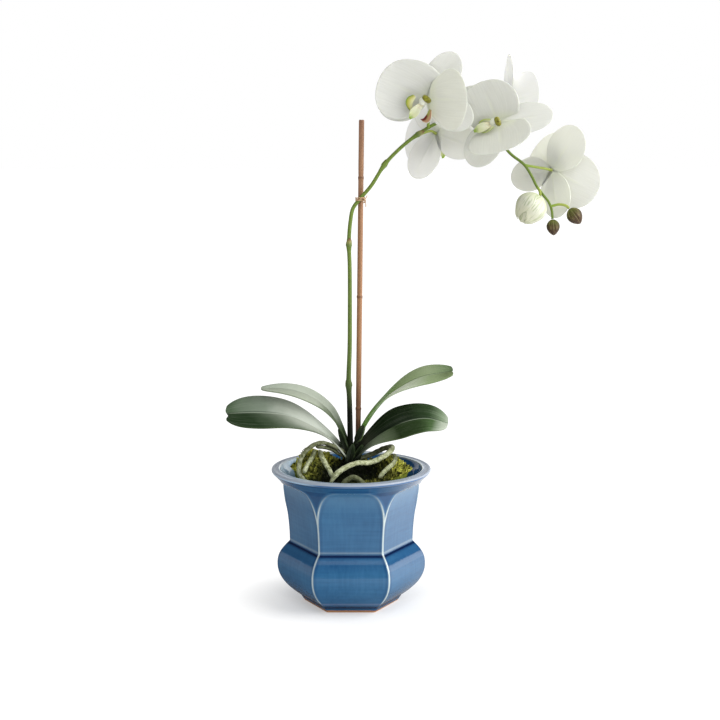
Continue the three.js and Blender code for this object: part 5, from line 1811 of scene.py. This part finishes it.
shut_bud = bud_skin("shut_bud", paint(78, 86, 22), paint(62, 46, 8), paint(58, 26, 6), paint(150, 144, 96),
                    paint(166, 152, 100), 0.6)
open_bud = bud_skin("opening_bud_skin", paint(200, 205, 172), paint(210, 211, 194), paint(206, 206, 180),
                    paint(160, 174, 110), paint(118, 140, 70), 0.5)
for bud in BUDS:
    start = stem_route.at(bud["leaves"])
    path = [start / MM] + [start / MM + Vector(step) for step in bud["stalk"]]
    stalk = rod(Route(path), BUD_STALK_STEPS, STALK_SIDES, lambda along, around: BUD_STALK_RADIUS)
    settle(stalk, bud["name"] + "_stem", stalk_green, stands_for=[bud["name"] + "_stalk"], smooth=1)
    bud["base"] = (path[-1] + Vector(bud["tip"]).normalized() * 0.3) * MM
opening, small = BUDS
settle(hung(bud_mesh(opening, OPEN_GROOVES), opening["base"], opening), "opening_bud_heart", open_bud,
       stands_for=["opening_bud"], smooth=1)
for number, (facing, out) in enumerate(LOOSE_SEGMENTS):
    settle(hung(wrapped_segment(opening, facing, out), opening["base"], opening),
           f"opening_bud_segment_{number + 1}", open_bud, wall=SEGMENT_THICKNESS, smooth=1)
settle(hung(bud_mesh(small, SHUT_GROOVES), small["base"], small), "small_bud_segments", shut_bud,
       stands_for=["small_bud"], smooth=1)
last_base = stem_route.at(1) - Vector((0, 0, 0.3 * MM))
settle(hung(bud_mesh(LAST_BUD, SHUT_GROOVES), last_base, LAST_BUD), "last_bud_segments", shut_bud,
       stands_for=["last_bud"], smooth=1)
print("buds are on")

# %% [markdown]
# ## Studio
# The photograph is a cut-out on white with a faint shadow at the foot. The floor and the sky are white
# to the camera, and the floor keeps the shadow. The glaze mirrors the studio: a white sweep behind and
# beside the pot, lighter toward the lamp on the right, which ends just above the horizon at the back
# and a short way in front. Beyond it the studio is dark, but for a pale strip high over the front that
# the belt's shoulder mirrors. A picture of a real studio could do this too, but a plain sky and two
# soft lamps keep each colour close to how it is written.

# %% Lay the floor
SWEEP_FRONT = -0.4
FLOOR_SIZE = 30
FLOOR_DROP = -0.0004
FLOOR_PAPER = (0.92, 0.92, 0.92, 1)
FLOOR_GLOW = 1.15
NEAR_GLOW_SHARE = 0.3


def make_floor():
    mesh = bmesh.new()
    bmesh.ops.create_grid(mesh, x_segments=1, y_segments=1, size=FLOOR_SIZE)
    data = bpy.data.meshes.new("floor")
    mesh.to_mesh(data)
    mesh.free()
    material = bpy.data.materials.new("floor_paper")
    material.use_nodes = True
    nodes = Nodes(material.node_tree)
    nodes.tree.nodes.clear()
    camera_ray = nodes.add("ShaderNodeLightPath", output="Is Camera Ray")
    clear_ray = nodes.add("ShaderNodeLightPath", output="Is Transmission Ray")
    mirror_ray = nodes.add("ShaderNodeLightPath", output="Is Glossy Ray")
    x, y, _ = nodes.add("ShaderNodeTexCoord", output="Object").parts()
    radius = (x * x + y * y) ** 0.5
    # For mirror rays the floor glows as painted light, brighter toward the lamp on the right, with the pot's
    # shadow painted in near its foot.
    outside_painted_pot_shadow = 0.12 + (radius + x * 0.5).ease(0.02, 0.25) * 0.88
    painted_lamp_falloff = 0.45 + x.ease(-0.15, 0.35) * 1.25
    mirrored = painted_lamp_falloff * outside_painted_pot_shadow * y.ease(SWEEP_FRONT - 0.01, SWEEP_FRONT + 0.01)
    seen = (camera_ray + clear_ray).clamp()
    glow = nodes.add("ShaderNodeEmission", inputs={"Strength": seen * FLOOR_GLOW + mirror_ray * mirrored})
    diffuse = nodes.add("ShaderNodeBsdfDiffuse", inputs={"Color": FLOOR_PAPER})
    away = NEAR_GLOW_SHARE + radius.ease(0.06, 0.17) * (1 - NEAR_GLOW_SHARE)
    share = seen * away + mirror_ray * 0.9
    mixed = nodes.add("ShaderNodeMixShader", inputs={0: share, 1: diffuse, 2: glow})
    nodes.add("ShaderNodeOutputMaterial", inputs={0: mixed})
    data.materials.append(material)
    floor = bpy.data.objects.new("floor", data)
    floor.location.z = FLOOR_DROP
    bpy.context.scene.collection.objects.link(floor)


make_floor()
print("the floor is down")

# %% Light the studio
SOFT_SKY = 0.55
DARK_STUDIO = 0.04
HIGH_STRIP = (0.76, 0.8, 0.87, 0.9)
KEY = {
    "place": (1.9, -0.7, 1.25), "target": (0.05, 0, 0.3), "width": 2.0, "height": 1.6, "power": 58,
    "mirrored": True,
}
FILL = {
    "place": (-0.1, -1.3, 1.4), "target": (0.1, 0, 0.35), "width": 1.0, "height": 1.0, "power": 7,
    "mirrored": False,
}


def make_sky():
    world = bpy.data.worlds.new("studio")
    bpy.context.scene.world = world
    world.use_nodes = True
    nodes = Nodes(world.node_tree)
    nodes.tree.nodes.clear()
    camera_ray = nodes.add("ShaderNodeLightPath", output="Is Camera Ray")
    clear_ray = nodes.add("ShaderNodeLightPath", output="Is Transmission Ray")
    mirror_ray = nodes.add("ShaderNodeLightPath", output="Is Glossy Ray")
    x, y, up = nodes.add("ShaderNodeTexCoord", output="Generated").parts()
    sweep = (1 - (up - x * 0.035).ease(0.225, 0.245)) * y.ease(-0.3, 0.0) * (x + 1.4)
    over_front = up.between(*HIGH_STRIP) * (1 - y.ease(-0.5, -0.4)) * 0.9
    mirrored = sweep + over_front + DARK_STUDIO
    seen = (camera_ray + clear_ray).clamp()
    level = seen + mirror_ray * mirrored + (1 - seen) * (1 - mirror_ray) * SOFT_SKY
    sky = nodes.add("ShaderNodeBackground", inputs={"Color": (1, 1, 1, 1), "Strength": level})
    nodes.add("ShaderNodeOutputWorld", inputs={0: sky})


def softbox(name, place, target, width, height, power, mirrored):
    light = bpy.data.lights.new(name, "AREA")
    light.shape = "RECTANGLE"
    light.size = width
    light.size_y = height
    light.energy = power
    lamp = bpy.data.objects.new(name, light)
    lamp.location = place
    lamp.rotation_euler = (Vector(target) - Vector(place)).to_track_quat("-Z", "Y").to_euler()
    lamp.visible_glossy = mirrored
    bpy.context.scene.collection.objects.link(lamp)


make_sky()
softbox("key", **KEY)
softbox("fill", **FILL)
print("the studio is lit")
